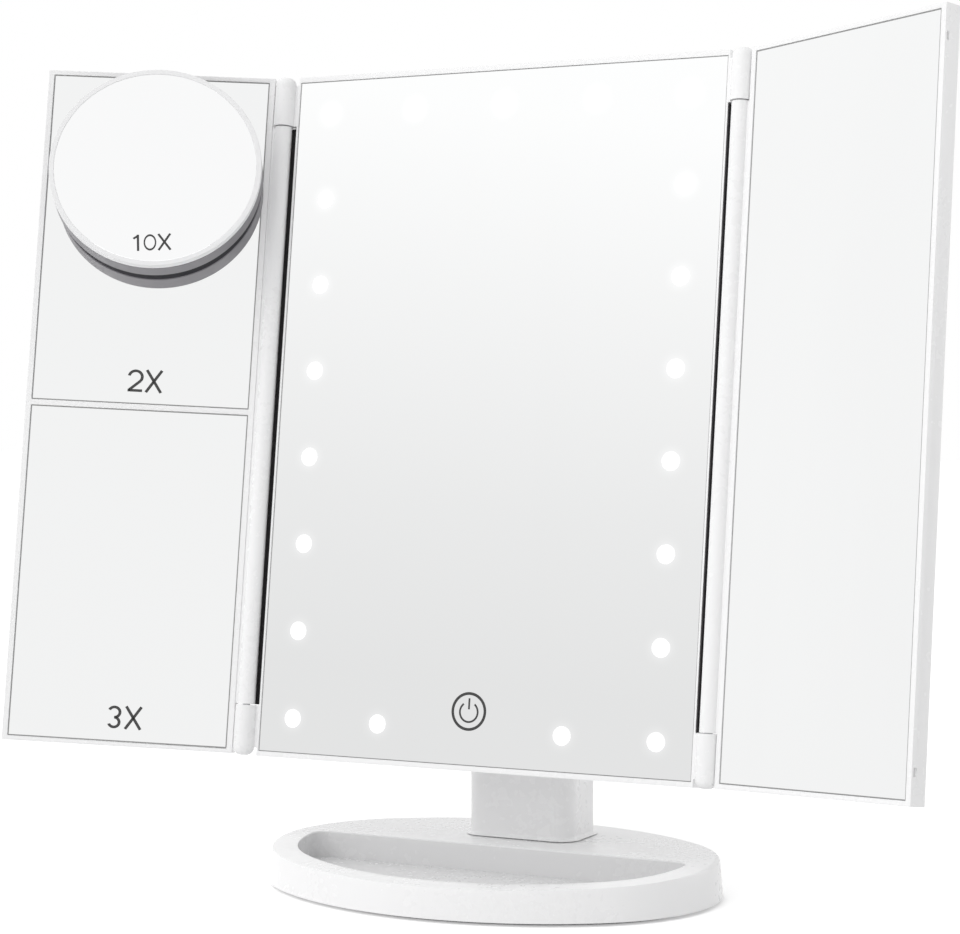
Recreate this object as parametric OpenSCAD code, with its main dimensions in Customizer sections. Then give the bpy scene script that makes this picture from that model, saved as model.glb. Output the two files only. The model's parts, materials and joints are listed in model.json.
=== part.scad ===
// Trifold vanity mirror with lights, on an oval tray base.
// The origin is the middle of the pad under the base, +Z is up and the mirror faces -Y.
// Lengths are millimetres and angles are degrees.

/* [Base] */
// Length of the oval base
base_length = 160; // [150:1:176]
// Depth of the oval base
base_depth = 120; // [114:1:132]
// Radius of the oval's two narrow ends
base_end_radius = 50; // [44:1:54]
// Height of the base from the table to its top
base_height = 14; // [13:0.5:18]
// How much each side leans in from the bottom to the top
base_draft = 1.2; // [0.4:0.2:2]
// Rounding of the outer top edge
base_edge = 1.6; // [0.6:0.2:2.4]
// Thickness of the base's moulded walls
base_wall = 2.2; // [1.6:0.2:3]
// Distance from the base's edge to the bottom plate
plate_inset = 2.8; // [2:0.2:4]
// Thickness of the bottom plate
plate_thickness = 2; // [1.5:0.1:3]
// Thickness of the anti-slip pad
pad_thickness = 1.2; // [0.8:0.1:2]
// Distance from the base's edge to the pad
pad_inset = 4; // [3:0.5:8]

/* [Tray] */
// Width of the rim round the tray
tray_rim = 9.6; // [8:0.2:12]
// Depth of the tray
tray_depth = 9.2; // [7:0.1:9.4]
// Where the tray's straight back wall stands
tray_back = 3.6; // [0:0.2:6]
// Rounding of the tray's two corners
tray_corner = 4.5; // [3:0.5:8]
// How far the rim falls from the tray's back wall to the front
rim_fall = 2.8; // [0:0.2:3]

/* [Weight] */
// Distance of the two side screws from the base's ends
side_screw_inset = 22; // [20:1:24]
// Distance of the two side screws behind the tray
side_screw_back = 10.4; // [9.4:0.2:12]
// Distance of the two back screws from the base's ends
back_screw_inset = 46; // [42:1:48]
// Distance of the two back screws from the base's back
back_screw_depth = 16; // [15:0.5:18]
// Thickness of the steel weight in the base
weight_thickness = 5.6; // [3:0.2:6]
// Free space round the weight
weight_gap = 1; // [0.5:0.1:2]

/* [Column] */
// Width of the column
column_width = 40; // [38:1:46]
// Depth of the column
column_depth = 25; // [25:0.5:28]
// Rounding of the column's four edges
column_corner = 6; // [4.5:0.5:6]
// Distance of the column's middle behind the origin
column_y = 31.3; // [30:0.1:34]
// Thickness of the column's walls
column_wall = 2; // [1.6:0.1:2.2]
// Radius of the hollow flare round the column's foot
foot_flare = 1.4; // [0.8:0.2:2.4]
// Height of the seam under the column's foot
foot_seam = 0.3; // [0.2:0.1:0.5]
// Radius of the two screw bosses in the foot
foot_boss_radius = 4; // [3.5:0.1:4.5]
// Height of the two screw bosses in the foot
foot_boss_height = 8; // [7:0.5:10]
// Distance between the two screw bosses
foot_boss_spacing = 22; // [20:1:24]

/* [Tilt pivot] */
// Height of the tilt axle above the table
pivot_height = 150; // [149:0.5:156]
// Radius of the tilt axle
axle_radius = 3; // [2.5:0.1:3.5]
// Width of the lug between the two cheeks
lug_width = 16; // [14:0.5:18]
// Radius of the lug round the axle
lug_radius = 9; // [8:0.2:9.6]
// Thickness of each friction washer
washer_thickness = 0.4; // [0.3:0.1:0.8]
// Radius of the friction washers
washer_radius = 7.5; // [6:0.1:8.5]
// Free space on each side of a friction washer
washer_gap = 0.05; // [0.03:0.01:0.1]
// Radial running clearance of the axle
axle_clearance = 0.05; // [0.03:0.01:0.08]
// Radius of the round recess for the axle's head and nut
cap_radius = 6; // [5.6:0.1:6.2]
// Thickness of the caps that cover the axle's ends
cap_thickness = 1.4; // [1:0.1:2]
// Thickness of the axle's head and nut
axle_head_thickness = 3.2; // [2.5:0.1:4]
// Free height of the slot under the lug
lug_slot_drop = 2.6; // [2.2:0.1:4]

/* [Batteries] */
// Diameter of one battery cell
cell_diameter = 10.5; // [10.5]
// Length of one battery cell
cell_length = 44.5; // [44.5]
// Distance between the middles of the two rows of cells
cell_pitch = 12.4; // [11.8:0.1:13]
// Spring length at the end of a row
spring_length = 3; // [2:0.5:3.5]
// Height of the battery tray's bottom above the table
battery_height = 37; // [36:0.5:38]
// Width of the battery door
door_width = 27; // [25:0.5:27.5]
// Free space round the battery door
door_gap = 0.15; // [0.1:0.05:0.3]

/* [Head] */
// Angle that the head leans back at rest
head_tilt = 7.5; // [5:0.5:8.5]
// Distance of the glass centre in front of or behind the origin
head_y = -5.2; // [-6:0.1:-4]
// Height of the glass centre above the table
head_z = 161.2; // [159:0.1:164]
// Width of the middle mirror glass
glass_width = 160.5; // [156:0.5:170]
// Height of the middle mirror glass
glass_height = 235; // [232:1:244]
// Thickness of the middle mirror glass
glass_thickness = 3; // [2:0.5:4]
// Side lip of the frame beside the glass
side_lip = 0.65; // [0.5:0.05:1.2]
// Top and bottom lip of the frame
end_lip = 1.8; // [1:0.1:2.4]
// How far the lips stand out in front of the glass
lip_front = 0.4; // [0.2:0.1:0.6]
// Depth of the head behind the glass face
head_depth = 12; // [11:0.5:12.5]
// Thickness of the frame's walls behind the glass
frame_wall = 4.5; // [3.5:0.5:5.5]
// Thickness of the back cover
cover_thickness = 2; // [1.6:0.2:2.4]
// Free space round glasses and covers in their seats
seat_gap = 0.1; // [0.05:0.05:0.15]

/* [Lights] */
// Number of lights in each of the two side columns
light_count = 8; // [6:1:8]
// Distance between two lights in a column
light_pitch = 30.2; // [28:0.2:30.6]
// Distance of the light columns from the glass's sides
light_edge = 12.75; // [11.25:0.25:18]
// Distance of the outer lights of the short rows from the middle
light_row_x = 34.3; // [30:0.1:38]
// Diameter of one frosted light window
light_diameter = 6.4; // [5:0.1:8]
// Depth of the frosted windows in the glass
light_depth = 0.3; // [0.2:0.1:0.5]
// Width of the light boards
board_width = 9; // [8:0.5:11]
// Thickness of the light boards
board_thickness = 1.2; // [1:0.1:1.6]
// Width of one lamp chip
chip_width = 2.8; // [2:0.1:3.5]
// Height of one lamp chip
chip_height = 0.8; // [0.5:0.1:1]
// Height of the power mark above the glass centre
power_z = -99.6; // [-101:0.1:-98]
// Radius of the touch pad behind the power mark
touch_radius = 7.5; // [6:0.5:8]

/* [Wing hinges] */
// Radius of the moving hinge barrels
barrel_radius = 3.05; // [2.8:0.05:3.3]
// Radius of the fixed hinge knuckles
knuckle_radius = 3.65; // [3.5:0.05:4]
// Height of each fixed knuckle
knuckle_height = 17.4; // [14:0.2:20]
// Rounding of the knuckles' outer ends
knuckle_round = 2.8; // [1:0.2:3]
// Seam between a knuckle and its barrel
knuckle_gap = 0.3; // [0.2:0.1:0.5]
// Dark slot between the head's side and the barrels
barrel_slot = 1.75; // [1.45:0.05:1.9]
// Distance of the hinge axis in front of the glass face
hinge_front = 1.1; // [0.9:0.1:1.9]
// Thickness of the dark seals in the hinge slots
slot_seal_thickness = 0.4; // [0.3:0.1:0.6]
// Depth of the seals behind the glass face
slot_seal_depth = 2.7; // [2.6:0.1:3.4]
// How far the seals reach behind the barrels
slot_seal_reach = 3.6; // [3:0.2:4.4]
// Radius of the hinge pins
pin_radius = 1.3; // [1:0.1:1.5]
// Radial running clearance of the hinge pins
pin_clearance = 0.05; // [0.03:0.01:0.08]
// Length of each hinge pin inside its barrel
pin_reach = 9; // [6:1:12]

/* [Wings] */
// Opening angle of the left wing at rest
left_angle = 22; // [20:1:26]
// Opening angle of the right wing at rest
right_angle = 25; // [20:0.5:28]
// Height of a wing
wing_height = 238; // [236:1:240]
// Thickness of a wing behind its glass face
wing_thickness = 6; // [5:0.5:7]
// Distance from the hinge axis to the wing's glass
wing_glass_start = 6.1; // [5.4:0.1:7]
// Lip round the wing's glass at the top and bottom
wing_end_lip = 1.6; // [0.8:0.1:2]
// Lip of the wing at its outer edge
wing_outer_lip = 2; // [1.2:0.1:2.4]
// How far the wing's lips stand out in front of its glass
wing_lip_front = 0.3; // [0.2:0.05:0.5]
// Thickness of the wings' mirror glasses
wing_glass_thickness = 2; // [1.5:0.5:2]
// Width of the rib between the left wing's two glasses
divider_width = 2; // [1.6:0.2:3]
// Width of the ledge that carries a wing's glass
wing_ledge = 1.6; // [1.2:0.2:2.4]
// Thickness of the wings' back panels
wing_back_thickness = 1.4; // [1:0.2:1.6]
// Distance between the closed wing's edge and the other hinge axis
wing_edge_gap = 0.3; // [0.2:0.1:1]
// Height of the snap notches in the wings' outer sides
notch_height = 2.6; // [2:0.2:4]
// Distance of the snap notches from the wing's middle
notch_z = 109; // [90:1:112]

/* [Round mirror] */
// Radius of the round mirror's front shell
spot_radius = 36.2; // [33:0.2:37]
// Depth of the round mirror from front to back
spot_depth = 24.3; // [22:0.1:26]
// Distance of its back from the wing's glass
spot_stand_off = 9; // [9:0.1:11]
// Distance of its back's centre from the hinge axis
spot_s = 40.1; // [39.8:0.1:42]
// Height of its back's centre above the wing's middle
spot_v = 74; // [70:0.5:75]
// Angle that the round mirror leans up at rest
spot_up = 12; // [8:0.5:12]
// Angle that the round mirror turns to the middle
spot_in = 5.5; // [3:0.5:6]
// Depth of the rear band
rear_band = 9.7; // [8:0.1:10.5]
// Depth of the dark groove between the bands
groove_band = 5.4; // [4:0.1:7]
// How deep the dark groove is cut
groove_cut = 0.8; // [0.6:0.1:2.4]
// How much smaller the rear band is
rear_step = 0.5; // [0.3:0.1:1]
// Bevel of the rear band's back edge
rear_bevel = 1.6; // [1:0.2:2.4]
// Width of the pale ring round the round glass
ring_width = 1.7; // [1.2:0.1:3]
// Thickness of the pale ring
ring_depth = 2.6; // [2.4:0.1:3.5]
// Thickness of the round glass
spot_glass_thickness = 2; // [1.5:0.1:2.2]
// Wall of the round mirror's shells
spot_wall = 2; // [1.6:0.1:2.6]
// Radius of the ball that it swivels on
ball_radius = 5; // [4:0.2:5.6]
// Distance of the ball's centre in front of the back
ball_depth = 4; // [3.6:0.1:5]
// Free space between the ball and its socket
ball_clearance = 0.08; // [0.05:0.01:0.1]
// Radius of the neck between ball and suction cup
neck_radius = 3; // [2.4:0.1:3.2]
// Radius of the suction cup
cup_radius = 21; // [16:0.5:22]
// Height of the suction cup's rubber dome
cup_height = 4.6; // [4:0.1:5]

/* [Screws] */
// Radius of the screws' shanks
screw_radius = 1.4; // [1.2:0.1:1.5]
// Radius of the screws' heads
screw_head_radius = 2.8; // [2.4:0.1:3]
// Thickness of the screws' heads
screw_head_thickness = 1.2; // [1:0.1:1.2]
// Free space round screws in their holes
screw_gap = 0.1; // [0.05:0.05:0.15]

/* [Hidden] */
$fn = 96;

// A cut reaches this far past the face that it opens
cut = 1;
shell_white = [0.93, 0.93, 0.93];
mirror_grey = [0.86, 0.88, 0.90];
board_green = [0.16, 0.38, 0.24];
steel_grey = [0.66, 0.67, 0.69];
spot_grey = [0.50, 0.49, 0.52];
spot_dark = [0.20, 0.20, 0.23];

// The base's outline has two wide arcs and two end arcs that meet smoothly.
end_shift = base_length / 2 - base_end_radius;
side_shift = (pow(end_shift, 2) - pow(base_depth / 2 - base_end_radius, 2))
    / (2 * (base_depth / 2 - base_end_radius));
side_radius = side_shift + base_depth / 2;
arc_far = base_length + base_depth;

plate_top = pad_thickness + plate_thickness;
shell_height = base_height - pad_thickness;
deck_bottom = base_height - base_wall;
tray_floor = base_height - tray_depth;
cavity_front = tray_back + base_wall;
boss_radius = screw_radius + base_wall;
side_boss = [base_length / 2 - side_screw_inset, tray_back + side_screw_back];
back_boss = [base_length / 2 - back_screw_inset, base_depth / 2 - back_screw_depth];
base_boss_places = [
    for (side = [-1, 1], boss = [side_boss, back_boss]) [side * boss.x, boss.y]
];

column_bottom = base_height + foot_seam;
column_split = column_y + column_depth / 2 - column_corner;
column_inner_back = column_y + column_depth / 2 - column_wall;
column_inner_front = column_y - column_depth / 2 + column_wall;
column_inner_corner = column_corner - column_wall;
cheek_radius = column_depth / 2;
slot_half = lug_width / 2 + washer_thickness + 2 * washer_gap;
slot_bottom = pivot_height - lug_radius - lug_slot_drop;
column_floor = column_bottom + column_wall;
column_ceiling = slot_bottom - column_wall;
recess_depth = column_width / 2 - cap_thickness - axle_head_thickness;
foot_boss_top = column_floor + foot_boss_height;

row_length = 2 * cell_length + spring_length;
contact_thickness = 0.5;
battery_wall = 1.4;
cell_play = 3;
cell_grip = 3.2;
spring_radius = 2.4;
battery_top = battery_height + row_length + 2 * contact_thickness + 2 * battery_wall;
battery_width = cell_pitch + cell_diameter + 2 * battery_wall;
cell_y = column_inner_back - cell_diameter / 2 - cell_play;
cell_bottom = battery_height + battery_wall + contact_thickness + spring_length;
battery_back = cell_y + cell_grip;
door_bottom = battery_height + 1;
door_top = battery_top - 0.5;
board_z = foot_boss_top;
control_board_thickness = 1.6;
usb_width = 9;
usb_height = 3.3;
usb_depth = 7.4;

head_half = glass_width / 2 + seat_gap + side_lip;
head_half_height = glass_height / 2 + seat_gap + end_lip;
hinge_x = head_half + barrel_slot + barrel_radius;
cover_inset = 2.4;
cover_boss_wall = 2.2;
cover_boss_overlap = 1.4;
cover_screw_end = 14;
cover_screw_length = cover_thickness + 3.4;
frame_rear = head_depth;
cover_front = head_depth - cover_thickness;
inner_half = head_half - frame_wall;
inner_half_height = head_half_height - frame_wall;
cover_half = head_half - cover_inset;
cover_half_height = head_half_height - cover_inset;
light_column_x = glass_width / 2 - light_edge;
light_row_z = light_pitch * (light_count - 1) / 2;
board_y = glass_thickness + chip_height;
cover_boss_radius = screw_radius + cover_boss_wall;
cover_boss_front = board_y + board_thickness + 0.4;
cover_screw_places = [
    for (side = [-1, 1], row = [-1, 0, 1])
        [side * (inner_half - cover_boss_overlap), row * (inner_half_height - cover_screw_end)]
];

// The tilt axle seen from the head's own leaning frame
pivot_back = (column_y - head_y) * cos(head_tilt) - (pivot_height - head_z) * sin(head_tilt);
pivot_rise = (column_y - head_y) * sin(head_tilt) + (pivot_height - head_z) * cos(head_tilt);
bracket_width = 46;
bracket_height = 40;
bracket_thickness = 3;
bracket_screw_inset = 5.5;
bracket_screw_length = bracket_thickness + 4.6;
bracket_screw_places = [
    for (side = [-1, 1], row = [-1, 1])
        [side * (bracket_width / 2 - bracket_screw_inset),
         row * (bracket_height / 2 - bracket_screw_inset)]
];

knuckle_inner = head_half_height - knuckle_height;
barrel_half = knuckle_inner - knuckle_gap;
wing_start = knuckle_radius + 0.3;
wing_end = hinge_x - wing_edge_gap;
wing_glass_end = wing_end - wing_outer_lip - seat_gap;
wing_glass_half = wing_height / 2 - wing_end_lip - seat_gap;
wing_back_front = wing_thickness - wing_back_thickness;

spot_turn_s = -cos(spot_up) * sin(spot_in);
spot_turn_v = sin(spot_up);
spot_turn_n = cos(spot_up) * cos(spot_in);
ball_s = spot_s + ball_depth * spot_turn_s;
ball_v = spot_v + ball_depth * spot_turn_v;
ball_n = spot_stand_off + ball_depth * spot_turn_n;
groove_front = rear_band + groove_band;
spot_glass_radius = spot_radius - ring_width - seat_gap;
socket_radius = ball_radius + 2.6;

// ---- Frames of the moving pieces ----

module on_head() {
    translate([0, head_y, head_z])
        rotate([-head_tilt, 0, 0])
            children();
}

// Children are drawn for the right wing: x runs from the hinge to the free edge.
module on_wing(side, angle) {
    on_head()
        translate([side * hinge_x, -hinge_front, 0])
            rotate([0, 0, -side * angle])
                mirror([side < 0 ? 1 : 0, 0, 0])
                    children();
}

// Children are drawn along +Z, which points out of the left wing's glass.
module on_cup() {
    on_wing(-1, left_angle)
        translate([ball_s, 0, ball_v])
            rotate([90, 0, 0])
                children();
}

// Children are drawn along +Z, from the round mirror's back to its glass.
module on_spot() {
    on_wing(-1, left_angle)
        translate([spot_s, -spot_stand_off, spot_v])
            rotate([0, 0, -spot_in])
                rotate([-spot_up, 0, 0])
                    rotate([90, 0, 0])
                        children();
}

// ---- Shared shapes ----

// A box between two corners
module span(low, high) {
    translate(low)
        cube(high - low);
}

module disc(radius, bottom, top) {
    translate([0, 0, bottom])
        cylinder(r = radius, h = top - bottom);
}

module rounded_rect(width, depth, corner) {
    square([width, depth - 2 * corner], center = true);
    square([width - 2 * corner, depth], center = true);
    for (side = [-1, 1], end = [-1, 1])
        translate([side * (width / 2 - corner), end * (depth / 2 - corner)])
            circle(corner);
}

// Half section of a wall that leans in by draft, with a rounded top edge
module leaning_wall(radius, height, draft, edge) {
    lean = draft * edge / height;
    difference() {
        polygon([[0, 0], [radius, 0], [radius - draft, height], [0, height]]);
        if (edge > 0)
            translate([radius - draft - edge + lean, height - edge])
                difference() {
                    square(edge + cut);
                    circle(edge);
                }
    }
}

// The base's oval, smaller by inset all round, built from four sectors that meet in planes
module oval(inset, bottom, height, draft = 0, edge = 0) {
    reach = arc_far / norm([end_shift, side_shift]);
    translate([0, 0, bottom]) {
        for (flip = [0, 1])
            mirror([0, flip, 0])
                translate([0, -side_shift, 0])
                    intersection() {
                        rotate_extrude($fn = 180)
                            leaning_wall(side_radius - inset, height, draft, edge);
                        translate([0, 0, -cut])
                            linear_extrude(height + 2 * cut)
                                polygon([
                                    [0, 0],
                                    [end_shift * reach, side_shift * reach],
                                    [-end_shift * reach, side_shift * reach]
                                ]);
                    }
        for (flip = [0, 1])
            mirror([flip, 0, 0])
                translate([end_shift, 0, 0])
                    intersection() {
                        rotate_extrude()
                            leaning_wall(base_end_radius - inset, height, draft, edge);
                        translate([0, 0, -cut])
                            linear_extrude(height + 2 * cut)
                                polygon([
                                    [0, 0],
                                    [end_shift * reach, -side_shift * reach],
                                    [end_shift * reach, side_shift * reach]
                                ]);
                    }
    }
}

module screw(length) {
    disc(screw_head_radius, 0, screw_head_thickness);
    disc(screw_radius, screw_head_thickness - 0.1, length);
}

// Clearance hole for a screw whose head lies at z = 0
module screw_hole(length) {
    disc(screw_head_radius + screw_gap, -cut, screw_head_thickness);
    disc(screw_radius + screw_gap, -cut, length);
}

// ---- Stand ----

module anti_slip_pad() {
    color([0.80, 0.80, 0.80])
        oval(pad_inset, 0, pad_thickness);
}

// Prism over the region where the tray's corner is rounded away
module tray_corner_cut() {
    end_radius = base_end_radius - tray_rim;
    mid_y = tray_back - tray_corner;
    mid_x = sqrt(pow(end_radius - tray_corner, 2) - pow(mid_y, 2));
    dir = [mid_x, mid_y] / (end_radius - tray_corner);
    touch = dir * (end_radius + 2 * cut);
    translate([end_shift, 0, tray_floor - cut])
        difference() {
            linear_extrude(tray_depth + 3 * cut)
                polygon([
                    [mid_x, mid_y],
                    [mid_x, tray_back + cut],
                    [touch.x, tray_back + cut],
                    touch
                ]);
            translate([mid_x, mid_y, -cut])
                cylinder(r = tray_corner, h = tray_depth + 5 * cut);
        }
}

module tray_hollow() {
    difference() {
        intersection() {
            oval(tray_rim, tray_floor, tray_depth + cut);
            span([-base_length, -base_depth, 0], [base_length, tray_back, 2 * base_height]);
        }
        for (flip = [0, 1])
            mirror([flip, 0, 0])
                tray_corner_cut();
    }
}

// The space above the rim, which falls towards the front
module above_rim() {
    translate([0, tray_back, base_height])
        rotate([atan(rim_fall / (base_depth / 2 + tray_back)), 0, 0])
            span([-base_length, -base_depth, 0], [base_length, 0, base_height]);
}

module base_shell() {
    color(shell_white)
        difference() {
            oval(0, pad_thickness, shell_height, base_draft, base_edge);
            above_rim();
            tray_hollow();
            oval(plate_inset, pad_thickness - cut, plate_thickness + cut);
            difference() {
                intersection() {
                    oval(base_draft + base_wall, plate_top - cut, deck_bottom - plate_top + cut);
                    span([-base_length, cavity_front, 0], [base_length, base_depth, base_height]);
                }
                for (place = base_boss_places)
                    translate(place)
                        disc(boss_radius, plate_top, base_height);
            }
            for (place = base_boss_places)
                translate(place)
                    disc(screw_radius + screw_gap, plate_top - cut, deck_bottom);
            for (side = [-1, 1])
                translate([side * foot_boss_spacing / 2, column_y])
                    disc(screw_radius + screw_gap, deck_bottom - cut, base_height + cut);
        }
}

module base_bottom_plate() {
    color(shell_white * 0.9)
        difference() {
            oval(plate_inset + seat_gap, pad_thickness, plate_thickness);
            for (place = base_boss_places)
                translate([place.x, place.y, pad_thickness])
                    screw_hole(plate_thickness + cut);
        }
}

module base_weight() {
    color(steel_grey)
        difference() {
            intersection() {
                oval(base_draft + base_wall + weight_gap, plate_top, weight_thickness);
                span([-base_length, cavity_front + weight_gap, 0],
                     [base_length, base_depth, base_height]);
            }
            for (place = base_boss_places)
                translate(place)
                    disc(boss_radius + weight_gap, 0, base_height);
        }
}

module base_screws() {
    color(steel_grey)
        for (place = base_boss_places)
            translate([place.x, place.y, pad_thickness])
                screw(deck_bottom - pad_thickness - 1);
}

// The column's outline between two heights, with its cheeks rounded about the axle
module column_block(width, depth, corner, bottom, top) {
    translate([0, column_y, bottom])
        linear_extrude(top - bottom)
            rounded_rect(width, depth, corner);
}

module column_outer() {
    intersection() {
        column_block(column_width, column_depth, column_corner,
                     column_bottom, pivot_height + cheek_radius);
        union() {
            span([-column_width, 0, 0], [column_width, base_depth, pivot_height]);
            translate([-column_width, column_y, pivot_height])
                rotate([0, 90, 0])
                    cylinder(r = cheek_radius, h = 2 * column_width);
        }
    }
    foot_skirt();
}

// Quarter-round hollow flare: half section outside a wall at radius
module flare_section(radius) {
    difference() {
        square([radius + foot_flare, foot_flare]);
        translate([radius + foot_flare, foot_flare])
            circle(foot_flare);
    }
}

module foot_skirt() {
    flat_x = column_width / 2 - column_corner;
    flat_y = column_depth / 2 - column_corner;
    translate([0, column_y, column_bottom]) {
        for (side = [-1, 1], end = [-1, 1])
            translate([side * flat_x, end * flat_y, 0])
                rotate_extrude()
                    flare_section(column_corner);
        for (turn = [0, 180]) {
            rotate([0, 0, turn])
                rotate([90, 0, 90])
                    translate([0, 0, -flat_x])
                        linear_extrude(2 * flat_x)
                            flare_section(column_depth / 2);
            rotate([0, 0, turn])
                translate([0, flat_y, 0])
                    rotate([90, 0, 0])
                        linear_extrude(2 * flat_y)
                            flare_section(column_width / 2);
        }
    }
}

module column_hollow() {
    column_block(column_width - 2 * column_wall, column_depth - 2 * column_wall,
                 column_inner_corner, column_floor, column_ceiling);
}

module lug_slot() {
    span([-slot_half, 0, slot_bottom], [slot_half, base_depth, 2 * pivot_height]);
}

module front_side() {
    span([-base_length, 0, 0], [base_length, column_split, 2 * pivot_height]);
}

module column_front() {
    color(shell_white)
        difference() {
            union() {
                difference() {
                    intersection() {
                        column_outer();
                        front_side();
                    }
                    column_hollow();
                }
                for (side = [-1, 1])
                    translate([side * foot_boss_spacing / 2, column_y])
                        disc(foot_boss_radius, column_floor - 0.1, foot_boss_top);
            }
            lug_slot();
            translate([-column_width, column_y, pivot_height])
                rotate([0, 90, 0])
                    cylinder(r = axle_radius + axle_clearance, h = 2 * column_width);
            for (side = [0, 1])
                mirror([side, 0, 0])
                    translate([recess_depth, column_y, pivot_height])
                        rotate([0, 90, 0])
                            cylinder(r = cap_radius, h = column_width);
            for (side = [-1, 1])
                translate([side * foot_boss_spacing / 2, column_y])
                    disc(screw_radius + screw_gap, 0, foot_boss_top - 1);
        }
}

module usb_place() {
    translate([0, column_y + column_depth / 2 - 0.4, board_z + control_board_thickness])
        children();
}

module column_rear() {
    color(shell_white)
        difference() {
            column_outer();
            front_side();
            column_hollow();
            lug_slot();
            span([-door_width / 2 - door_gap, column_inner_back - cut, door_bottom - door_gap],
                 [door_width / 2 + door_gap, base_depth, door_top + door_gap]);
            usb_place()
                span([-usb_width / 2 - door_gap, -usb_depth, 0],
                     [usb_width / 2 + door_gap, base_depth, usb_height + door_gap]);
        }
}

module column_screws() {
    color(steel_grey)
        for (side = [-1, 1])
            translate([side * foot_boss_spacing / 2, column_y, deck_bottom - screw_head_thickness])
                screw(foot_boss_top - deck_bottom - 1);
}

module battery_tray() {
    color([0.25, 0.25, 0.27])
        difference() {
            span([-battery_width / 2, column_inner_front, battery_height],
                 [battery_width / 2, battery_back, battery_top]);
            for (side = [-1, 1])
                translate([side * cell_pitch / 2, cell_y, battery_height + battery_wall]) {
                    cylinder(r = cell_diameter / 2 + seat_gap,
                             h = row_length + 2 * contact_thickness);
                    span([-cell_diameter / 2 - seat_gap, 0, 0],
                         [cell_diameter / 2 + seat_gap, cell_diameter,
                          row_length + 2 * contact_thickness]);
                }
        }
}

module battery_cell(side, level) {
    color([0.30, 0.42, 0.62])
        translate([side * cell_pitch / 2, cell_y, cell_bottom + level * cell_length]) {
            cylinder(r = cell_diameter / 2, h = cell_length - 1);
            cylinder(r = cell_diameter / 4, h = cell_length);
        }
}

module battery_contacts() {
    plate_half = cell_diameter / 2 - 0.4;
    color(steel_grey)
        for (side = [-1, 1])
            translate([side * cell_pitch / 2, cell_y, battery_height + battery_wall]) {
                span([-plate_half, -2, 0], [plate_half, 2, contact_thickness]);
                cylinder(r = spring_radius, h = spring_length + contact_thickness);
                translate([0, 0, row_length + contact_thickness])
                    span([-plate_half, -2, 0], [plate_half, 2, contact_thickness]);
            }
}

module control_board() {
    half = column_width / 2 - column_corner;
    color(board_green) {
        span([-half, column_inner_front + 2, board_z],
             [half, column_inner_back - seat_gap, board_z + control_board_thickness]);
        for (side = [-1, 1])
            span([side * 7 - 2.5, column_y - 6, board_z + control_board_thickness - 0.1],
                 [side * 7 + 2.5, column_y - 1, board_z + control_board_thickness + 1.4]);
    }
}

module usb_socket() {
    mouth_width = usb_width - 0.8;
    mouth_height = usb_height - 0.8;
    color(steel_grey)
        usb_place()
            difference() {
                span([-usb_width / 2, -usb_depth, 0], [usb_width / 2, 0, usb_height]);
                difference() {
                    span([-mouth_width / 2, 1 - usb_depth, 0.4],
                         [mouth_width / 2, cut, 0.4 + mouth_height]);
                    span([-mouth_width / 2 + 0.8, -usb_depth, usb_height / 2 - 0.35],
                         [mouth_width / 2 - 0.8, -0.6, usb_height / 2 + 0.35]);
                }
            }
}

// Children are drawn along +Z, which points along +X at the tilt axle.
module at_axle() {
    translate([0, column_y, pivot_height])
        rotate([0, 90, 0])
            children();
}

module pivot_axle() {
    color(steel_grey)
        at_axle() {
            disc(axle_radius, -recess_depth - 0.1, recess_depth + axle_head_thickness - 0.2);
            disc(cap_radius - 0.4, -recess_depth - axle_head_thickness + seat_gap, -recess_depth);
        }
}

module pivot_nut() {
    color(steel_grey)
        at_axle()
            difference() {
                translate([0, 0, recess_depth])
                    cylinder(r = cap_radius - 0.4, h = axle_head_thickness - 0.4, $fn = 6);
                disc(axle_radius + axle_clearance, 0, column_width);
            }
}

module friction_washers() {
    inner = lug_width / 2 + washer_gap;
    color(spot_dark)
        at_axle()
            for (bottom = [-inner - washer_thickness, inner])
                difference() {
                    disc(washer_radius, bottom, bottom + washer_thickness);
                    disc(axle_radius + axle_clearance, -column_width, column_width);
                }
}

module pivot_caps() {
    outer = column_width / 2;
    color(shell_white)
        at_axle()
            for (bottom = [-outer + 0.1, outer - cap_thickness])
                disc(cap_radius - seat_gap, bottom, bottom + cap_thickness - 0.1);
}

module battery_door() {
    outer = column_y + column_depth / 2;
    color(shell_white)
        difference() {
            union() {
                span([-door_width / 2, column_inner_back, door_bottom],
                     [door_width / 2, outer, door_top]);
                span([-5, column_inner_back - 1.2, door_bottom + 4],
                     [5, column_inner_back + 0.1, door_top - 4]);
            }
            for (step = [0 : 4])
                span([-6, outer - 0.5, door_top - 8 - 2.4 * step],
                     [6, outer + cut, door_top - 6.8 - 2.4 * step]);
        }
}

// ---- Head ----

module knuckle(side) {
    translate([side * hinge_x, -hinge_front, knuckle_inner])
        rotate_extrude()
            difference() {
                square([knuckle_radius, knuckle_height]);
                translate([knuckle_radius - knuckle_round, knuckle_height - knuckle_round])
                    difference() {
                        square(knuckle_round + cut);
                        circle(knuckle_round);
                    }
            }
}

module knuckle_arm(side) {
    low = side > 0 ? head_half - 2 : -hinge_x;
    high = side > 0 ? hinge_x : 2 - head_half;
    span([low, -lip_front, knuckle_inner],
         [high, frame_rear, head_half_height - knuckle_round]);
}

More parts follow.
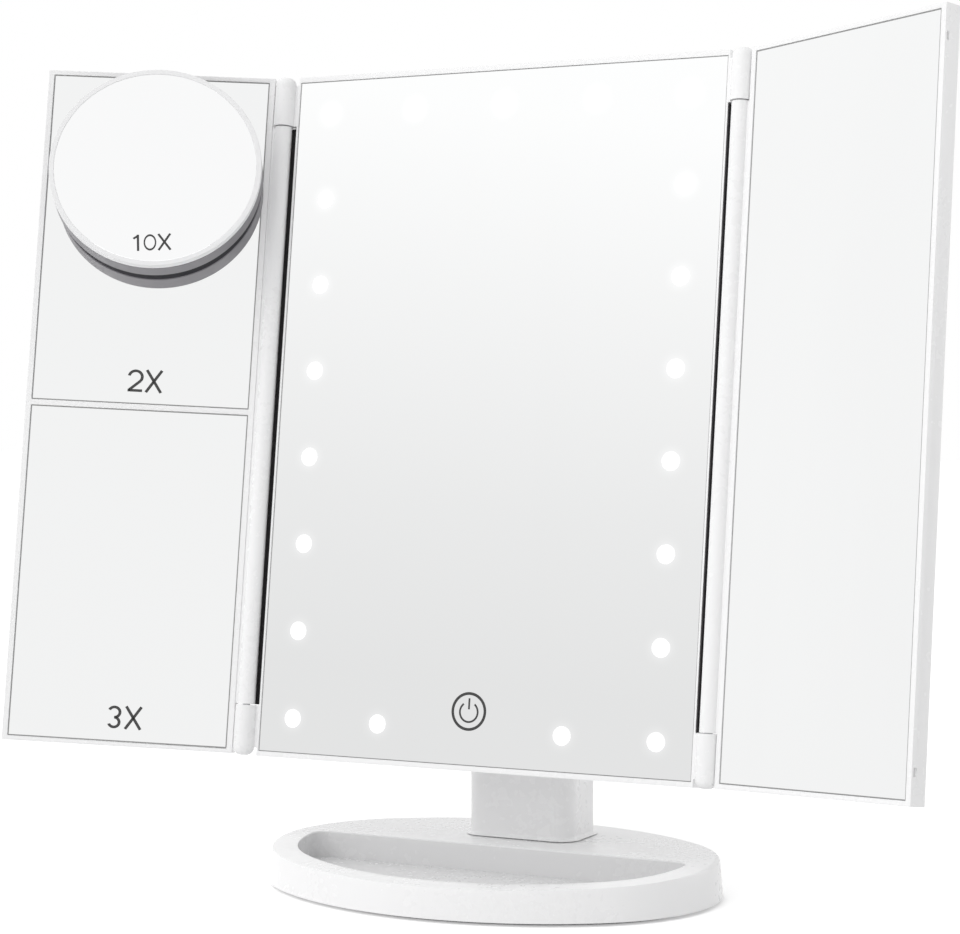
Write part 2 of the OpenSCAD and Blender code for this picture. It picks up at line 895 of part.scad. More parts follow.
module centre_frame() {
    color(shell_white)
        on_head()
            difference() {
                union() {
                    span([-head_half, -lip_front, -head_half_height],
                         [head_half, frame_rear, head_half_height]);
                    for (side = [-1, 1], flip = [0, 1])
                        mirror([0, 0, flip]) {
                            knuckle(side);
                            knuckle_arm(side);
                        }
                }
                span([-glass_width / 2 - seat_gap, -cut, -glass_height / 2 - seat_gap],
                     [glass_width / 2 + seat_gap, glass_thickness, glass_height / 2 + seat_gap]);
                difference() {
                    span([-inner_half, 0, -inner_half_height],
                         [inner_half, frame_rear + cut, inner_half_height]);
                    for (place = cover_screw_places)
                        translate([place.x, frame_rear, place.y])
                            rotate([90, 0, 0])
                                cylinder(r = cover_boss_radius, h = frame_rear - cover_boss_front);
                }
                span([-cover_half - seat_gap, cover_front, -cover_half_height - seat_gap],
                     [cover_half + seat_gap, frame_rear + cut, cover_half_height + seat_gap]);
                for (side = [-1, 1])
                    translate([side * hinge_x, -hinge_front, -head_half_height + 2])
                        cylinder(r = pin_radius + pin_clearance, h = 2 * head_half_height - 4);
                for (place = cover_screw_places)
                    translate([place.x, cover_front + cut, place.y])
                        rotate([90, 0, 0])
                            cylinder(r = screw_radius + screw_gap, h = cut + 4);
            }
}

module light_place(place, depth) {
    translate([place.x, depth, place.y])
        rotate([-90, 0, 0])
            children();
}

function column_places(side) = [
    for (row = [0 : light_count - 1])
        [side * light_column_x, row * light_pitch - light_row_z]
];
top_places = [for (step = [-1, 0, 1]) [step * light_row_x, light_row_z]];
bottom_places = [for (step = [-1, 1]) [step * light_row_x, -light_row_z]];
all_places = concat(column_places(-1), column_places(1), top_places, bottom_places);

module centre_glass() {
    color(mirror_grey)
        on_head()
            difference() {
                span([-glass_width / 2, 0, -glass_height / 2],
                     [glass_width / 2, glass_thickness, glass_height / 2]);
                for (place = all_places)
                    light_place(place, -cut)
                        cylinder(d = light_diameter, h = light_depth + cut);
            }
}

module light_windows(places) {
    color([1, 1, 1])
        on_head()
            for (place = places)
                light_place(place, 0)
                    cylinder(d = light_diameter - 0.02, h = light_depth);
}

// A strip that carries the lamps, with its front face just behind the chips
module light_board(places, low, high) {
    color([0.95, 0.95, 0.90])
        on_head() {
            span([low.x, board_y, low.y], [high.x, board_y + board_thickness, high.y]);
            for (place = places)
                translate([place.x, glass_thickness, place.y])
                    span([-chip_width / 2, 0, -chip_width / 2],
                         [chip_width / 2, chip_height + 0.1, chip_width / 2]);
        }
}

module light_board_column(side) {
    reach = inner_half_height - seat_gap;
    light_board(column_places(side),
                [side * light_column_x - board_width / 2, -reach],
                [side * light_column_x + board_width / 2, reach]);
}

module light_board_row(places, level) {
    half = light_column_x - board_width / 2 - 2 * seat_gap;
    light_board(places, [-half, level - board_width / 2], [half, level + board_width / 2]);
}

module touch_pad() {
    color(board_green)
        on_head()
            light_place([0, power_z], glass_thickness)
                disc(touch_radius, 0, chip_height);
}

module back_cover() {
    color(shell_white)
        on_head()
            difference() {
                union() {
                    span([-cover_half, cover_front, -cover_half_height],
                         [cover_half, frame_rear, cover_half_height]);
                    span([-bracket_width / 2, board_y + board_thickness + 1,
                          pivot_rise - bracket_height / 2],
                         [bracket_width / 2, cover_front + 0.1, pivot_rise + bracket_height / 2]);
                }
                for (place = cover_screw_places)
                    translate([place.x, frame_rear, place.y])
                        rotate([90, 0, 0])
                            screw_hole(cover_thickness + cut);
                for (place = bracket_screw_places)
                    translate([place.x, frame_rear + cut, pivot_rise + place.y])
                        rotate([90, 0, 0])
                            cylinder(r = screw_radius + screw_gap, h = cut + 5);
            }
}

module back_cover_screws() {
    color(steel_grey)
        on_head()
            for (place = cover_screw_places)
                translate([place.x, frame_rear, place.y])
                    rotate([90, 0, 0])
                        screw(cover_screw_length);
}

module pivot_bracket() {
    color(shell_white)
        on_head()
            difference() {
                union() {
                    span([-bracket_width / 2, frame_rear, pivot_rise - bracket_height / 2],
                         [bracket_width / 2, frame_rear + bracket_thickness,
                          pivot_rise + bracket_height / 2]);
                    span([-lug_width / 2, frame_rear + 1, pivot_rise - lug_radius],
                         [lug_width / 2, pivot_back, pivot_rise + lug_radius]);
                    translate([-lug_width / 2, pivot_back, pivot_rise])
                        rotate([0, 90, 0])
                            cylinder(r = lug_radius, h = lug_width);
                }
                translate([-lug_width, pivot_back, pivot_rise])
                    rotate([0, 90, 0])
                        cylinder(r = axle_radius + axle_clearance, h = 2 * lug_width);
                for (place = bracket_screw_places)
                    translate([place.x, frame_rear + bracket_thickness, pivot_rise + place.y])
                        rotate([90, 0, 0])
                            screw_hole(bracket_thickness + cut);
            }
}

module bracket_screws() {
    color(steel_grey)
        on_head()
            for (place = bracket_screw_places)
                translate([place.x, frame_rear + bracket_thickness, pivot_rise + place.y])
                    rotate([90, 0, 0])
                        screw(bracket_screw_length);
}

module hinge_pins(side) {
    color(steel_grey)
        on_head()
            for (flip = [0, 1])
                mirror([0, 0, flip])
                    translate([side * hinge_x, -hinge_front, barrel_half - pin_reach])
                        cylinder(r = pin_radius,
                                 h = head_half_height - 2.2 - barrel_half + pin_reach);
}

// A dark strip that closes the slot beside a barrel, an L seen from above
module slot_seal(side) {
    color(spot_dark)
        on_head()
            mirror([side < 0 ? 1 : 0, 0, 0]) {
                span([head_half, 0, -barrel_half],
                     [head_half + slot_seal_thickness, slot_seal_depth, barrel_half]);
                span([head_half, slot_seal_depth - slot_seal_thickness, -barrel_half],
                     [head_half + slot_seal_reach, slot_seal_depth, barrel_half]);
            }
}

// ---- Wings, drawn for the right side ----

module wing_window(start, low, high) {
    span([start, -cut - wing_lip_front, low - seat_gap],
         [wing_glass_end + seat_gap, wing_glass_thickness, high + seat_gap]);
    span([start + seat_gap + wing_ledge, 0, low + wing_ledge],
         [wing_glass_end - wing_ledge, wing_thickness + cut, high - wing_ledge]);
}

module wing_frame(ranges) {
    half = wing_height / 2;
    difference() {
        union() {
            span([wing_start, -wing_lip_front, -half], [wing_end, wing_thickness, half]);
            span([0, 0, -barrel_half], [wing_start + cut, barrel_radius, barrel_half]);
            disc(barrel_radius, -barrel_half, barrel_half);
        }
        for (range = ranges)
            wing_window(wing_glass_start - seat_gap, range.x, range.y);
        span([wing_glass_start - seat_gap, wing_back_front, -wing_glass_half - seat_gap],
             [wing_glass_end + seat_gap, wing_thickness + cut, wing_glass_half + seat_gap]);
        for (flip = [0, 1])
            mirror([0, 0, flip]) {
                disc(pin_radius + pin_clearance, barrel_half - pin_reach - 0.5, barrel_half + cut);
                span([wing_end - 0.8, 0.5, notch_z - notch_height / 2],
                     [wing_end + cut, 1.5, notch_z + notch_height / 2]);
            }
    }
}

module wing_back() {
    span([wing_glass_start, wing_back_front, -wing_glass_half],
         [wing_glass_end, wing_thickness, wing_glass_half]);
}

module wing_glass(low, high) {
    span([wing_glass_start, 0, low], [wing_glass_end, wing_glass_thickness, high]);
}

upper_glass = [divider_width / 2 + seat_gap, wing_glass_half];
lower_glass = [-wing_glass_half, -divider_width / 2 - seat_gap];
full_glass = [-wing_glass_half, wing_glass_half];

module wing_frame_left() {
    color(shell_white)
        on_wing(-1, left_angle)
            wing_frame([lower_glass, upper_glass]);
}

module wing_back_left() {
    color(shell_white)
        on_wing(-1, left_angle)
            wing_back();
}

module glass_2x() {
    color(mirror_grey)
        on_wing(-1, left_angle)
            wing_glass(upper_glass.x, upper_glass.y);
}

module glass_3x() {
    color(mirror_grey)
        on_wing(-1, left_angle)
            wing_glass(lower_glass.x, lower_glass.y);
}

module wing_frame_right() {
    color(shell_white)
        on_wing(1, right_angle)
            wing_frame([full_glass]);
}

module wing_back_right() {
    color(shell_white)
        on_wing(1, right_angle)
            wing_back();
}

module glass_right() {
    color(mirror_grey)
        on_wing(1, right_angle)
            wing_glass(full_glass.x, full_glass.y);
}

// ---- Round mirror on the left wing ----

module suction_cup() {
    color([0.75, 0.76, 0.78])
        on_cup()
            rotate_extrude()
                polygon([
                    [0, 0.6],
                    [cup_radius - 3, 0.6],
                    [cup_radius - 1, 0],
                    [cup_radius, 0],
                    [cup_radius, 0.6],
                    [10, 2.2],
                    [7, cup_height],
                    [0, cup_height]
                ]);
}

module ball_stud() {
    color(steel_grey)
        on_cup() {
            disc(6, cup_height, cup_height + 0.8);
            disc(neck_radius, cup_height, ball_n);
            translate([0, 0, ball_n])
                sphere(ball_radius);
        }
}

module spot_rear_shell() {
    outer = spot_radius - rear_step;
    color(spot_grey)
        on_spot()
            rotate_extrude()
                polygon([
                    [socket_radius + seat_gap, 0],
                    [outer - rear_bevel, 0],
                    [outer, rear_bevel],
                    [outer, rear_band],
                    [outer - spot_wall, rear_band],
                    [outer - spot_wall, spot_wall + 0.8],
                    [outer - spot_wall - 0.8, spot_wall],
                    [socket_radius + seat_gap, spot_wall]
                ]);
}

// Ring that grips the ball beyond its middle and closes over its front
module spot_socket() {
    color(spot_dark)
        on_spot()
            difference() {
                union() {
                    disc(socket_radius, 0.6, rear_band);
                    disc(socket_radius + 5, spot_wall, spot_wall + 2);
                    disc(spot_radius - rear_step - spot_wall - seat_gap, rear_band - 1.6, rear_band);
                }
                translate([0, 0, ball_depth])
                    sphere(ball_radius + ball_clearance);
                translate([0, 0, -cut])
                    cylinder(r1 = neck_radius + 4.4, r2 = neck_radius + 0.9, h = cut + 2.2);
            }
}

module spot_groove_ring() {
    outer = spot_radius - groove_cut;
    color(spot_dark)
        on_spot()
            difference() {
                disc(outer, rear_band, groove_front);
                disc(outer - spot_wall, 0, spot_depth);
            }
}

module spot_front_shell() {
    color(spot_grey)
        on_spot()
            difference() {
                disc(spot_radius, groove_front, spot_depth - ring_depth);
                disc(spot_radius - spot_wall - 1, groove_front + spot_wall, spot_depth);
            }
}

module spot_ring() {
    color([0.85, 0.85, 0.87])
        on_spot()
            difference() {
                disc(spot_radius, spot_depth - ring_depth, spot_depth);
                disc(spot_glass_radius + seat_gap, spot_depth - spot_glass_thickness - 0.2,
                     spot_depth + cut);
                disc(spot_glass_radius - 1.5, 0, spot_depth);
            }
}

module spot_glass_10x() {
    color(mirror_grey)
        on_spot()
            disc(spot_glass_radius, spot_depth - spot_glass_thickness - 0.2, spot_depth - 0.2);
}

anti_slip_pad();
base_shell();
base_bottom_plate();
base_weight();
base_screws();
column_front();
column_rear();
column_screws();
battery_tray();
battery_cell(-1, 0);  // battery_cell_1
battery_cell(-1, 1);  // battery_cell_2
battery_cell(1, 0);  // battery_cell_3
battery_cell(1, 1);  // battery_cell_4
battery_contacts();
control_board();
usb_socket();
pivot_axle();
pivot_nut();
friction_washers();
pivot_caps();
battery_door();
centre_frame();
centre_glass();
light_windows(column_places(-1));  // light_windows_left
light_windows(column_places(1));  // light_windows_right
light_windows(top_places);  // light_windows_top
light_windows(bottom_places);  // light_windows_bottom
light_board_column(-1);  // light_board_left
light_board_column(1);  // light_board_right
light_board_row(top_places, light_row_z);  // light_board_top
light_board_row(bottom_places, -light_row_z);  // light_board_bottom
touch_pad();
back_cover();
back_cover_screws();
pivot_bracket();
bracket_screws();
hinge_pins(-1);  // hinge_pins_left
hinge_pins(1);  // hinge_pins_right
slot_seal(-1);  // slot_seal_left
slot_seal(1);  // slot_seal_right
wing_frame_left();
wing_back_left();
glass_2x();
glass_3x();
wing_frame_right();
wing_back_right();
glass_right();
suction_cup();
ball_stud();
spot_rear_shell();
spot_socket();
spot_groove_ring();
spot_front_shell();
spot_ring();
spot_glass_10x();
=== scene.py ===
# %% [markdown]
# # A three-leaf vanity mirror, dressed for a studio photograph
# The measured model of the mirror is already finished. Every part of it is loaded below as a
# fixed frame, in metres: the mirror faces -Y, +Z is up and the table is at z = 0. This lesson
# gives each part its finish, adds the fine pieces that the frame leaves out, and lights it.

import json
import math

import bmesh
import bpy
from mathutils import Matrix, Vector

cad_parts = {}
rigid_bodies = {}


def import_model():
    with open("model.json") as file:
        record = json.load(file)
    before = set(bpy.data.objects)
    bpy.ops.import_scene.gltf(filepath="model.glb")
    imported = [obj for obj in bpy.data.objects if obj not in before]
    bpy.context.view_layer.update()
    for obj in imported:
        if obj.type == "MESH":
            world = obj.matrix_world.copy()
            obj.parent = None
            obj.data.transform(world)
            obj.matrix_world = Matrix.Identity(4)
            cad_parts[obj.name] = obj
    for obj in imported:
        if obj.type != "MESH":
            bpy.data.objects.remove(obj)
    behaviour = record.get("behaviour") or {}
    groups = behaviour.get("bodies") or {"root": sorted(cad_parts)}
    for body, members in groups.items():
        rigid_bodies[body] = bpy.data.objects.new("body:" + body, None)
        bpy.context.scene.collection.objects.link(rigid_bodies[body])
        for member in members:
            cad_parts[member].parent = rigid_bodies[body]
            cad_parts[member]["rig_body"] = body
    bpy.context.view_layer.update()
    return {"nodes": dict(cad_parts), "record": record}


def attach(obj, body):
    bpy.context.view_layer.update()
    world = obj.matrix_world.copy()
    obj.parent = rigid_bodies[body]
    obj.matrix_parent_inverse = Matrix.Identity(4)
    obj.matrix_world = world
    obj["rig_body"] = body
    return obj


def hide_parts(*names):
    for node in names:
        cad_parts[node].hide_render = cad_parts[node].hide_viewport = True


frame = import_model()
MM = 0.001

# %% [markdown]
# ## The camera
# The photograph was taken from a little right of the middle, just above the table, with a
# long lens. The camera stands where the mirror's corners and the oval base fall on the
# photograph's own places. Its lens is shifted up a little, as an architect's lens is, so
# that upright edges stay upright.

# %% Place the camera
VIEW_DISTANCE, LENS_LENGTH, LENS_SHIFT = 848.94 * MM, 93.96, 0.0466
view_azimuth, view_elevation = math.radians(26.47), math.radians(2.52)
view_target = Vector((-4.90, 0, 128.14)) * MM
view_back = Vector((
    math.sin(view_azimuth) * math.cos(view_elevation),
    -math.cos(view_azimuth) * math.cos(view_elevation),
    math.sin(view_elevation),
))
camera = bpy.data.objects.new("camera", bpy.data.cameras.new("camera"))
bpy.context.scene.collection.objects.link(camera)
camera.location = view_target + view_back * VIEW_DISTANCE
camera.rotation_euler = (-view_back).to_track_quat("-Z", "Y").to_euler()
camera.data.sensor_width = 36
camera.data.lens = LENS_LENGTH
camera.data.shift_y = LENS_SHIFT
camera.data.clip_start, camera.data.clip_end = 0.05, 50
bpy.context.scene.camera = camera
bpy.context.scene.view_settings.view_transform = "Standard"
print("camera at", [round(c, 3) for c in camera.location])

# %% [markdown]
# ## Shared effects
# Three effects return on many parts, so each is a small node group that is built once and
# then placed in a material with that material's own values. Moulded plastic is never quite
# even: its tone drifts a little over a hand's width and its skin has a faint ripple from the
# mould. Glass that has been wiped keeps thin streaks. Metal is drawn or plated, so its gloss
# runs in lines.

# %% A helper that starts a node group
def start_group(name, inputs, outputs):
    group = bpy.data.node_groups.new(name, "ShaderNodeTree")
    for title, kind, value in inputs:
        socket = group.interface.new_socket(title, in_out="INPUT", socket_type="NodeSocket" + kind)
        socket.default_value = value
    for title, kind in outputs:
        group.interface.new_socket(title, in_out="OUTPUT", socket_type="NodeSocket" + kind)
    return group, group.nodes.new("NodeGroupInput"), group.nodes.new("NodeGroupOutput")


def add(tree, kind, **settings):
    """One node of a tree, with its settings and the plain values of its sockets."""
    node = tree.nodes.new("ShaderNode" + kind)
    for key, value in settings.items():
        if key.startswith("_"):
            node.inputs[int(key[1:])].default_value = value
        else:
            setattr(node, key, value)
    return node


def object_place(tree, scale=(1, 1, 1)):
    """Object coordinates, stretched by scale."""
    place = add(tree, "TexCoord")
    stretch = add(tree, "Mapping")
    stretch.inputs["Scale"].default_value = scale
    tree.links.new(place.outputs["Object"], stretch.inputs["Vector"])
    return stretch.outputs["Vector"]


def spread(tree, source, low, high, out_low, out_high, smooth=False):
    """Maps a number from one span to another, and holds it at both ends."""
    node = add(tree, "MapRange", _1=low, _2=high, _3=out_low, _4=out_high)
    node.interpolation_type = "SMOOTHSTEP" if smooth else "LINEAR"
    tree.links.new(source, node.inputs[0])
    return node.outputs[0]


def maths(tree, operation, first, second=None):
    """One sum of two sockets or numbers."""
    node = add(tree, "Math", operation=operation)
    for socket, value in zip(node.inputs, (first, second)):
        if isinstance(value, (int, float)):
            socket.default_value = value
        elif value is not None:
            tree.links.new(value, socket)
    return node.outputs[0]


# %% The skin of moulded plastic
skin_group, skin_in, skin_out = start_group(
    "moulded_skin",
    [("Tone", "Color", (0.8, 0.8, 0.8, 1)), ("Shade", "Color", (0.7, 0.7, 0.7, 1)),
     ("Drift", "Float", 0.2), ("Roughness", "Float", 0.3), ("Ripple", "Float", 600.0)],
    [("Color", "Color"), ("Roughness", "Float"), ("Height", "Float")],
)
drift_noise = add(skin_group, "TexNoise")
drift_noise.inputs["Scale"].default_value = 17
drift_noise.inputs["Detail"].default_value = 3
skin_group.links.new(object_place(skin_group), drift_noise.inputs["Vector"])
ripple_noise = add(skin_group, "TexNoise")
ripple_noise.inputs["Detail"].default_value = 2
skin_group.links.new(object_place(skin_group), ripple_noise.inputs["Vector"])
skin_group.links.new(skin_in.outputs["Ripple"], ripple_noise.inputs["Scale"])
tone_mix = add(skin_group, "Mix", data_type="RGBA")
drift_share = spread(skin_group, drift_noise.outputs["Fac"], 0.35, 0.65, 0, 1, smooth=True)
skin_group.links.new(maths(skin_group, "MULTIPLY", drift_share, skin_in.outputs["Drift"]),
                     tone_mix.inputs["Factor"])
skin_group.links.new(skin_in.outputs["Tone"], tone_mix.inputs["A"])
skin_group.links.new(skin_in.outputs["Shade"], tone_mix.inputs["B"])
skin_group.links.new(tone_mix.outputs["Result"], skin_out.inputs["Color"])
gloss_drift = spread(skin_group, drift_noise.outputs["Fac"], 0.3, 0.7, -0.03, 0.05)
gloss_ripple = spread(skin_group, ripple_noise.outputs["Fac"], 0.3, 0.7, -0.02, 0.02)
gloss = maths(skin_group, "ADD", skin_in.outputs["Roughness"],
              maths(skin_group, "ADD", gloss_drift, gloss_ripple))
skin_group.links.new(gloss, skin_out.inputs["Roughness"])
skin_group.links.new(ripple_noise.outputs["Fac"], skin_out.inputs["Height"])
print("made", skin_group.name)

# %% The streaks on wiped glass
wipe_group, wipe_in, wipe_out = start_group(
    "wiped_streaks",
    [("Clean", "Float", 0.01), ("Streaked", "Float", 0.04)],
    [("Roughness", "Float"), ("Mask", "Float")],
)
streak_noise = add(wipe_group, "TexNoise")
streak_noise.inputs["Scale"].default_value = 9
streak_noise.inputs["Detail"].default_value = 4
streak_noise.inputs["Distortion"].default_value = 0.6
wipe_group.links.new(object_place(wipe_group, (1, 1, 0.22)), streak_noise.inputs["Vector"])
streak_mask = spread(wipe_group, streak_noise.outputs["Fac"], 0.48, 0.72, 0, 1, smooth=True)
streak_mix = add(wipe_group, "Mix")
wipe_group.links.new(streak_mask, streak_mix.inputs["Factor"])
wipe_group.links.new(wipe_in.outputs["Clean"], streak_mix.inputs["A"])
wipe_group.links.new(wipe_in.outputs["Streaked"], streak_mix.inputs["B"])
wipe_group.links.new(streak_mix.outputs["Result"], wipe_out.inputs["Roughness"])
wipe_group.links.new(streak_mask, wipe_out.inputs["Mask"])
print("made", wipe_group.name)

# %% The glow of the lamps behind the middle glass
# Distance from the nearest lamp window, measured in the glass's own leaning plane.
HEAD_TILT = math.radians(7.5)
GLASS_CENTRE = Vector((0, -5.2, 161.2)) * MM
LAMP_PITCH, LAMP_COLUMN, LAMP_ROW_X = 30.2 * MM, 67.5 * MM, 34.3 * MM
LAMP_ROW_Z = 3.5 * LAMP_PITCH
LAMP_RADIUS = 3.2 * MM

glow_group, glow_in, glow_out = start_group("lamp_distance", [], [("Distance", "Float")])
glass_place = add(glow_group, "Mapping", vector_type="TEXTURE")
glass_place.inputs["Location"].default_value = GLASS_CENTRE
glass_place.inputs["Rotation"].default_value = (-HEAD_TILT, 0, 0)
glow_group.links.new(add(glow_group, "TexCoord").outputs["Object"], glass_place.inputs["Vector"])
glass_parts = add(glow_group, "SeparateXYZ")
glow_group.links.new(glass_place.outputs["Vector"], glass_parts.inputs[0])
across = maths(glow_group, "ABSOLUTE", glass_parts.outputs["X"])
upward = glass_parts.outputs["Z"]


def length_of(first, second):
    """The length of a step that goes first across and then up."""
    squares = [maths(glow_group, "POWER", side, 2.0) for side in (first, second)]
    return maths(glow_group, "SQRT", maths(glow_group, "ADD", *squares))


def gap(source, place):
    """How far a measure in the glass's plane is from a place."""
    return maths(glow_group, "ABSOLUTE", maths(glow_group, "SUBTRACT", source, place))


half_pitch = LAMP_PITCH / 2
from_middle = maths(glow_group, "ABSOLUTE", upward)
to_lamp_up = maths(glow_group, "SUBTRACT", half_pitch,
                   maths(glow_group, "PINGPONG", from_middle, half_pitch))
in_column = length_of(gap(across, LAMP_COLUMN), to_lamp_up)
in_rows = length_of(gap(across, LAMP_ROW_X), gap(from_middle, LAMP_ROW_Z))
top_middle = length_of(across, gap(upward, LAMP_ROW_Z))
nearest = maths(glow_group, "MINIMUM", in_column,
                maths(glow_group, "MINIMUM", in_rows, top_middle))
glow_group.links.new(nearest, glow_out.inputs["Distance"])
print("made", glow_group.name)

# %% [markdown]
# ## Finishes
# Each finish below is one material. A helper starts it with a Principled shader, and a
# second one lays the moulded skin on it, so that a new plastic takes one line.

# %% Start a material
def start_material(name, **plain):
    """A material with its Principled shader. plain holds the values that are the same all over."""
    material = bpy.data.materials.new(name)
    material.use_nodes = True
    tree = material.node_tree
    shader = tree.nodes["Principled BSDF"]
    for title, value in plain.items():
        shader.inputs[title.replace("_", " ").title().replace("Ior", "IOR")].default_value = value
    return material, tree, shader


def place_group(tree, group, **values):
    node = tree.nodes.new("ShaderNodeGroup")
    node.node_tree = group
    for title, value in values.items():
        node.inputs[title].default_value = value
    return node


def add_bump(tree, shader, height, distance, strength=1.0):
    bump = add(tree, "Bump")
    bump.inputs["Strength"].default_value = strength
    bump.inputs["Distance"].default_value = distance
    tree.links.new(height, bump.inputs["Height"])
    tree.links.new(bump.outputs["Normal"], shader.inputs["Normal"])


def grey(value, blue=0.0):
    """A near-neutral colour, a little bluer where blue is above 0."""
    return (value, value, value + blue, 1)


def moulded(name, tone, shade, roughness, drift=0.3, ripple=350.0, depth=0.0000015, **plain):
    """A moulded plastic or rubber."""
    material, tree, shader = start_material(name, **plain)
    skin = place_group(tree, skin_group, Tone=tone, Shade=shade, Drift=drift,
                       Roughness=roughness, Ripple=ripple)
    tree.links.new(skin.outputs["Color"], shader.inputs["Base Color"])
    tree.links.new(skin.outputs["Roughness"], shader.inputs["Roughness"])
    add_bump(tree, shader, skin.outputs["Height"], depth)
    return material


# %% [markdown]
# ### White plastic
# The frames, the column and the base are glossy white plastic. A pure white would lose every
# form in the light, so the tone stays below it and drifts a very little towards a cooler
# shade, and the mould's ripple breaks the edge of each reflection.

# %% White plastic
WHITE_TONE, WHITE_SHADE, WHITE_ROUGHNESS = grey(0.900, 0.003), grey(0.875, 0.006), 0.26
gloss_white = moulded("gloss_white_plastic", WHITE_TONE, WHITE_SHADE, WHITE_ROUGHNESS)
underside_white = moulded("satin_white_plastic", grey(0.78), grey(0.73), 0.5, ripple=1400.0,
                          depth=0.000006)
print("made", gloss_white.name, underside_white.name)

# %% [markdown]
# ### The tray in the base
# The hollow in the base is given painted shade: its colour is made a shade darker than its
# rim, for the shadow inside the recess. One mask finds it: below the top face, which falls
# towards the front, and inside an ellipse that runs between the hollow's edge and the outer wall.

# %% White plastic with painted shade in the tray
TRAY_REACH_X, TRAY_REACH_Y = 74.6 * MM, 54.6 * MM
BASE_TOP, TRAY_BACK, RIM_FALL = 14 * MM, 3.6 * MM, 2.8 / 63.6
base_white = moulded("base_white_plastic", WHITE_TONE, WHITE_SHADE, WHITE_ROUGHNESS)
base_tree = base_white.node_tree
base_shader = base_tree.nodes["Principled BSDF"]
base_place = add(base_tree, "SeparateXYZ")
base_tree.links.new(add(base_tree, "TexCoord").outputs["Object"], base_place.inputs[0])
shares = [maths(base_tree, "DIVIDE", base_place.outputs[axis], furthest)
          for axis, furthest in (("X", TRAY_REACH_X), ("Y", TRAY_REACH_Y))]
reach = maths(base_tree, "ADD", *[maths(base_tree, "POWER", share, 2.0) for share in shares])
in_reach = spread(base_tree, reach, 0.98, 1.02, 1, 0)
rim_top = maths(base_tree, "ADD", BASE_TOP,
                maths(base_tree, "MULTIPLY", RIM_FALL,
                      maths(base_tree, "MINIMUM", 0.0,
                            maths(base_tree, "SUBTRACT", base_place.outputs["Y"], TRAY_BACK))))
depth_below = maths(base_tree, "SUBTRACT", rim_top, base_place.outputs["Z"])
below_top = spread(base_tree, depth_below, 0.2 * MM, 0.6 * MM, 0, 1)
tray_shade_mask = maths(base_tree, "MULTIPLY", in_reach, below_top)
# Painted shade: inside the tray the white is mixed towards a darker grey.
tray_painted_shade = add(base_tree, "Mix", data_type="RGBA", _7=grey(0.74, 0.004))
base_tree.links.new(tray_shade_mask, tray_painted_shade.inputs["Factor"])
base_tree.links.new(base_shader.inputs["Base Color"].links[0].from_socket, tray_painted_shade.inputs["A"])
base_tree.links.new(tray_painted_shade.outputs["Result"], base_shader.inputs["Base Color"])
print("made", base_white.name)

# %% [markdown]
# ### Grey plastics of the round mirror
# The round mirror's band is satin grey plastic, set a little darker as painted shade for the
# shadow that its ring no longer casts on it. Its groove is near-black plastic, whose darkness
# also paints in the shade of the recess, and a paler ring holds its glass.

# %% Grey plastics
# Painted shade: the band's grey is a little darker than the plastic, for its ring's lost shadow.
band_grey_and_shade = moulded("satin_grey_plastic_and_shade", (0.175, 0.168, 0.184, 1), (0.153, 0.147, 0.162, 1), 0.34)
# Partly painted shade: the groove is near-black so that the recess reads as shadowed.
groove_dark_and_shade = moulded("dark_matt_plastic_and_groove_shade", (0.018, 0.017, 0.022, 1), (0.013, 0.013, 0.016, 1), 0.6,
                      ripple=1800.0, depth=0.000008, specular_ior_level=0.12)
# Painted shade: the strips in the hinge slots are near-black where the slot holds only shadow.
slot_painted_shade = moulded("slot_painted_shade_plastic", (0.050, 0.048, 0.050, 1), (0.040, 0.039, 0.042, 1), 0.6,
                    ripple=1800.0, depth=0.000008, specular_ior_level=0.2)
ring_pale = moulded("pale_satin_plastic", grey(0.84, 0.006), grey(0.80, 0.008), 0.28)
print("made", band_grey_and_shade.name, groove_dark_and_shade.name, ring_pale.name)

# %% [markdown]
# ### Soft parts
# The pad under the base is fine foam with small pores. The suction cup is clear soft plastic
# that looks milky where it is thick.

# %% Foam and soft plastic
foam, foam_tree, foam_shader = start_material("fine_foam", roughness=0.9)
pores = add(foam_tree, "TexVoronoi")
pores.inputs["Scale"].default_value = 1500
foam_tree.links.new(object_place(foam_tree), pores.inputs["Vector"])
pore_mask = spread(foam_tree, pores.outputs["Distance"], 0.05, 0.45, 0, 1, smooth=True)
pore_mix = add(foam_tree, "Mix", data_type="RGBA", _6=grey(0.40), _7=grey(0.58))
foam_tree.links.new(pore_mask, pore_mix.inputs["Factor"])
foam_tree.links.new(pore_mix.outputs["Result"], foam_shader.inputs["Base Color"])
add_bump(foam_tree, foam_shader, pore_mask, 0.00012)

soft_clear = moulded("milky_soft_plastic", (0.62, 0.66, 0.68, 1), (0.52, 0.56, 0.58, 1), 0.2,
                     drift=0.8, ripple=260.0, depth=0.00002, transmission_weight=0.35, ior=1.45)
print("made", foam.name, soft_clear.name)

# %% [markdown]
# ### Mirror glass
# A mirror is silver behind glass, so it is all metal to the eye, nearly smooth, and shows
# the room. Thin streaks from wiping make it a little less sharp in places.

# %% Mirrors
def mirror_glass(name, tone):
    material, tree, shader = start_material(name, base_color=tone, metallic=1.0)
    wipe = place_group(tree, wipe_group, Clean=0.004, Streaked=0.02)
    tree.links.new(wipe.outputs["Roughness"], shader.inputs["Roughness"])
    film = add(tree, "Mix", data_type="RGBA", _6=tone, _7=tuple(c * 0.985 for c in tone[:3]) + (1,))
    tree.links.new(wipe.outputs["Mask"], film.inputs["Factor"])
    tree.links.new(film.outputs["Result"], shader.inputs["Base Color"])
    return material, tree, shader


